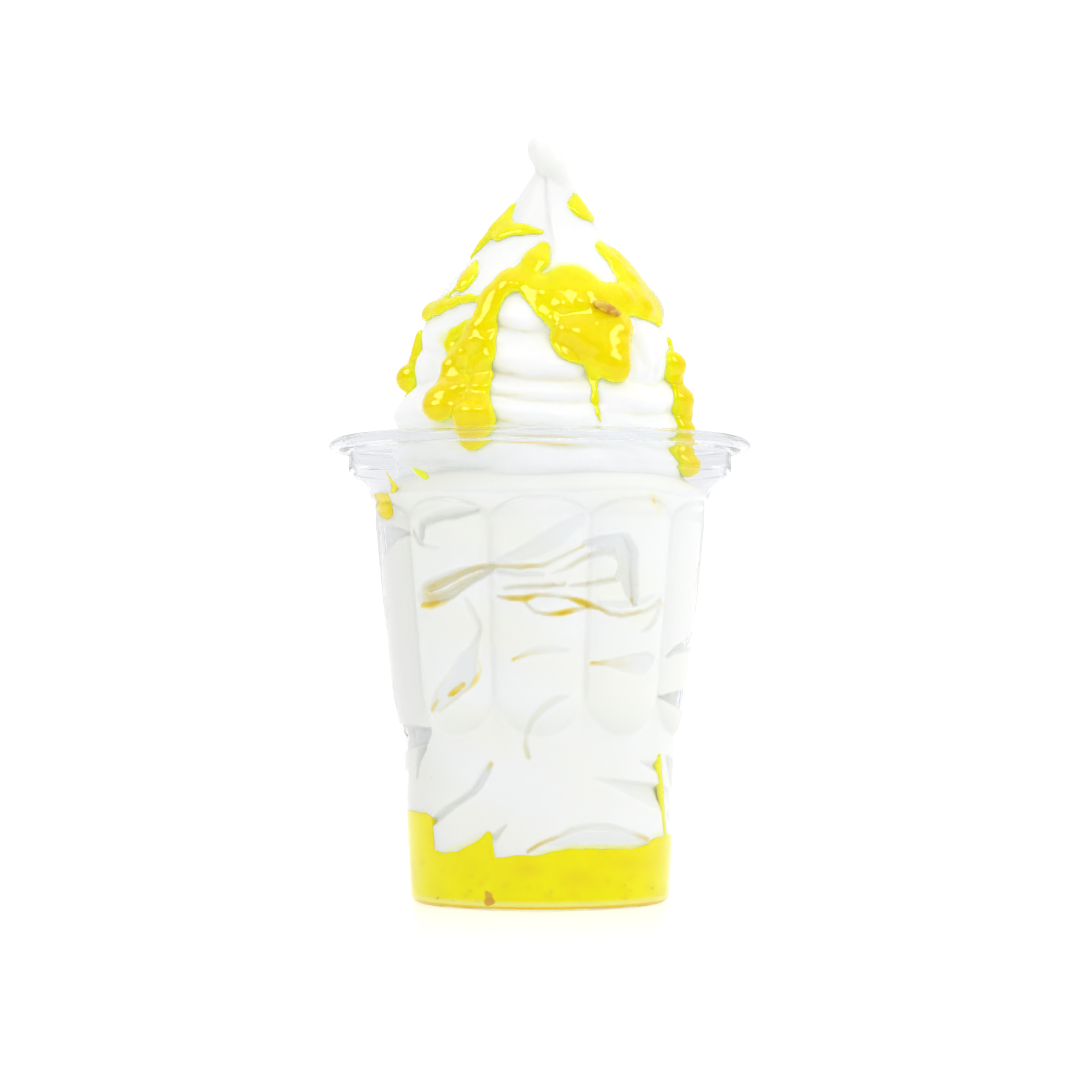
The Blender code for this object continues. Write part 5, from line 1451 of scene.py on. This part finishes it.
def make_patch(name, outline, finish):
    """Dab of sauce pressed flat against the wall, with an outline as azimuth and height."""
    fine = soft_line(outline + outline[:1])[:-1]
    middle = fine.mean(axis=0)
    rings = []
    for share, reach in ((1.0, -1.6), (1.0, 0.3), (0.95, 0.42), (0.6, 0.46), (0.25, 0.46)):
        ring = middle + (fine - middle) * share
        rings.append(on_wall(ring[:, 0], ring[:, 1], reach))
    points, faces = barrel(np.array(rings), rings[0].mean(axis=0), rings[-1].mean(axis=0))
    return new_piece(name, points, faces, finish, {"thick": np.full(len(points), 1.0)})


def make_specks(finish, base):
    """Grains of spice in the lower sauce, against the wall."""
    mesh = base.data.copy()
    work = bmesh.new()
    work.from_mesh(mesh)
    low, high = SPECK_BAND
    outside = [face for face in work.faces
        if face.normal.xy.length < 0.8 or not low <= face.calc_center_median().z <= high]
    bmesh.ops.delete(work, geom=outside, context="FACES")
    work.to_mesh(mesh)
    work.free()
    sizes = {"Density": 26000.0, "Seed": 7, "Smallest": 0.00008, "Largest": 0.0003, "Finish": finish}
    return run_tree("sauce_specks", mesh, scatter_tree(), finish, sizes)


def lump(name, azimuth, height, radius, sizes, finish, seed, turn=0.0):
    """Small uneven lump facing outwards, given its half sizes along, through and up."""
    mesh = bpy.data.meshes.new(name)
    work = bmesh.new()
    bmesh.ops.create_icosphere(work, subdivisions=4, radius=1.0)
    draw = random.Random(seed)
    waves = [(draw.uniform(1.5, 4.0), draw.uniform(0, 6.3), draw.choice((0, 1, 2))) for _ in range(6)]
    angle, tilt = math.radians(azimuth), math.radians(turn)
    for vert in work.verts:
        swell = 1.0 + 0.07 * sum(math.sin(rate * 2.0 * vert.co[axis] + phase) for rate, phase, axis in waves)
        along, through, up = (part * size * swell for part, size in zip(vert.co, sizes))
        along, up = along * math.cos(tilt) - up * math.sin(tilt), along * math.sin(tilt) + up * math.cos(tilt)
        reach = radius + through
        vert.co = ((reach * math.sin(angle) + along * math.cos(angle)) * MM,
            (-reach * math.cos(angle) + along * math.sin(angle)) * MM, (height + up) * MM)
    work.to_mesh(mesh)
    work.free()
    return place_mesh(name, mesh, finish)


# ---- light, floor and camera ----

# What the room gives to plain things: front, back, and what it gains towards +X and upwards
FRONT_LIGHT, BACK_LIGHT, SIDE_LIGHT, TOP_LIGHT = 0.5, 0.96, 0.1, 0.34
# What shiny things see of it in front, behind and above, and what is seen through the cup in front and behind
SHINY_FRONT, SHINY_BACK, SHINY_TOP = 0.05, 0.78, 0.16
CLEAR_FRONT, CLEAR_BACK = 0.78, 0.9
CAMERA_SEES = 1.1
# Windows that shiny things see: azimuth, height in degrees, half angle and brightness; and their soft edge
WINDOWS = ((-46, 42, 20.0, 7.5), (34, 50, 13.0, 7.5))
WINDOW_EDGE = 4.0
# Lamps as name, place, size and power, all aimed at the middle of the part
LAMPS = (("lamp_left", (-0.8, -0.75, 0.75), (0.5, 0.7), 1.4),
    ("lamp_right", (0.85, -0.65, 0.75), (0.5, 0.7), 2.1), ("lamp_top", (0.1, 0.0, 1.1), (0.9, 0.9), 1.0))
MIDDLE = (0.0, 0.0, 0.09)
FLOOR_REACH, FLOOR_LEVEL, FLOOR_GLOW = 6.0, -0.0002, 0.56
CAMERA_PLACE, CAMERA_TILT, CAMERA_LENS = (0.0, -0.700, 0.0595), 1.97, 100.3


def make_floor():
    """Large pale floor with a faint sheen, lit a little from below like a light table."""
    finish, tree, shader = new_finish("pale_floor", Roughness=0.3, Specular_IOR_Level=0.25,
        Emission_Strength=FLOOR_GLOW, Emission_Color=(*WHITE, 1.0))
    shade = ramp(tree, noise(tree, 3.0), FLOOR_STOPS)
    tree.links.new(shade, shader.inputs["Base Color"])
    mesh = bpy.data.meshes.new("floor")
    corners = [(x * FLOOR_REACH, y * FLOOR_REACH, 0.0) for x, y in ((-1, -1), (1, -1), (1, 1), (-1, 1))]
    mesh.from_pydata(corners, [], [(0, 1, 2, 3)])
    mesh.materials.append(finish)
    floor = in_scene("floor", mesh)
    floor.location.z = FLOOR_LEVEL


def add_lamp(name, place, size, power):
    """Large soft lamp that the camera doesn't see."""
    lamp = bpy.data.lights.new(name, "AREA")
    lamp.shape = "RECTANGLE"
    lamp.size, lamp.size_y = size
    lamp.energy = power
    holder = in_scene(name, lamp)
    holder.location = place
    x, y, z = np.array(MIDDLE) - np.array(place)
    holder.rotation_euler = (math.atan2(math.hypot(x, y), -z), 0.0, math.atan2(-x, y))
    holder.visible_camera = False
    holder.visible_glossy = False


def brightness(tree, value, low, high, dark, bright):
    """Brightness that goes from dark to bright as a value goes from low to high."""
    return add_node(tree, "ShaderNodeMapRange", {
        "Value": value, "From Min": low, "From Max": high, "To Min": dark, "To Max": bright}).outputs[0]


def make_light():
    """White room, brighter behind and dimmer in front, with soft lamps and with windows for shiny things."""
    world = bpy.data.worlds.new("white_room")
    bpy.context.scene.world = world
    world.use_nodes = True
    tree = world.node_tree
    add, calc = makers(tree)
    toward = add("ShaderNodeTexCoord").outputs["Generated"]
    direction = add("ShaderNodeSeparateXYZ", {0: toward})
    back = direction.outputs["Y"]
    up = calc("MAXIMUM", direction.outputs["Z"], 0.0)
    sideways = calc("MULTIPLY", direction.outputs["X"], SIDE_LIGHT)
    soft = calc("ADD", brightness(tree, back, -0.7, 0.5, FRONT_LIGHT, BACK_LIGHT), sideways)
    soft = calc("ADD", soft, calc("MULTIPLY", up, TOP_LIGHT))
    shiny = brightness(tree, back, -0.6, 0.6, SHINY_FRONT, SHINY_BACK)
    shiny = calc("ADD", shiny, calc("MULTIPLY", up, SHINY_TOP))
    for azimuth, tilt, half_angle, bright in WINDOWS:
        turn, rise = math.radians(azimuth), math.radians(tilt)
        middle = (math.sin(turn) * math.cos(rise), -math.cos(turn) * math.cos(rise), math.sin(rise))
        facing = add("ShaderNodeVectorMath", {0: toward, 1: middle}, operation="DOT_PRODUCT").outputs["Value"]
        outside, inside = (math.cos(math.radians(half_angle + edge)) for edge in (WINDOW_EDGE, 0.0))
        lit = add("ShaderNodeMapRange", {
            "Value": facing, "From Min": outside, "From Max": inside, "To Max": bright},
            interpolation_type="SMOOTHSTEP")
        shiny = calc("ADD", shiny, lit.outputs[0])
    path = add("ShaderNodeLightPath").outputs
    clear = brightness(tree, back, -0.8, 0.3, CLEAR_FRONT, CLEAR_BACK)
    seen = soft
    for ray, other in (("Is Glossy Ray", shiny), ("Is Transmission Ray", clear)):
        seen = add("ShaderNodeMix", {0: path[ray], 2: seen, 3: other}, data_type="FLOAT").outputs[0]
    strength = calc("MAXIMUM", seen, calc("MULTIPLY", path["Is Camera Ray"], CAMERA_SEES))
    background = tree.nodes["Background"]
    tree.links.new(strength, background.inputs["Strength"])
    background.inputs["Color"].default_value = (*WHITE, 1.0)
    for name, place, size, power in LAMPS:
        add_lamp(name, place, size, power)


def make_camera():
    """Camera a little above the table, level with the middle of the cup and tilted up at the swirl."""
    camera = bpy.data.cameras.new("camera")
    camera.lens = CAMERA_LENS
    camera.sensor_width = 36.0
    holder = in_scene("camera", camera)
    holder.location = CAMERA_PLACE
    holder.rotation_euler = (math.radians(90.0 + CAMERA_TILT), 0.0, 0.0)
    bpy.context.scene.camera = holder
    bpy.context.scene.view_settings.view_transform = "Standard"


def keep(piece, slot, *nodes):
    """Lets a piece ride on the part in place of CAD nodes; the slot it is given is not used."""
    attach(piece, "root")
    if nodes:
        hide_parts(*nodes)


make_camera()
make_light()
make_floor()

cream_finish = soft_serve()
sauce_finish = yellow_sauce("yellow_sauce", 0.5)
lower_finish = yellow_sauce("yellow_sauce_low", 0.1)

keep(make_cup(clear_plastic()), "clear_plastic", "cup")
keep(make_cream_in_cup(cream_finish), "soft_serve", "ice_cream")
swirl_piece, swirl_space = make_swirl(cream_finish)
keep(swirl_piece, "soft_serve", "ice_cream")
keep(make_thick_sauce(sauce_finish, swirl_space), "yellow_sauce", "ice_cream")
lower_sauce = make_lower_sauce(lower_finish)
keep(lower_sauce, "yellow_sauce", "sauce_base")

runs = make_wall_strands(sauce_finish)
runs += [make_patch(name, outline, sauce_finish) for name, outline in WALL_PATCHES.items()]
keep(join_pieces("sauce_on_wall", runs), "yellow_sauce")
speck_finish = plain_finish("spice", (0.55, 0.30, 0.03), (0.40, 0.16, 0.02), 900.0, 0.5)
keep(make_specks(speck_finish, lower_sauce), "yellow_sauce")
amber_finish = plain_finish("amber", (0.80, 0.46, 0.008), (0.62, 0.31, 0.003), 420.0, 0.15)
keep(lump("amber_drop", -22.2, 3.0, 29.45, (1.35, 0.48, 2.1), amber_finish, 5), "yellow_sauce")
fruit_finish = plain_finish("fruit", (0.90, 0.66, 0.05), (0.58, 0.24, 0.03), 620.0, 0.3)
keep(lump("fruit_bit", 30, 134.8, 30.2, (3.7, 1.4, 1.25), fruit_finish, 9, -20.0), "yellow_sauce")
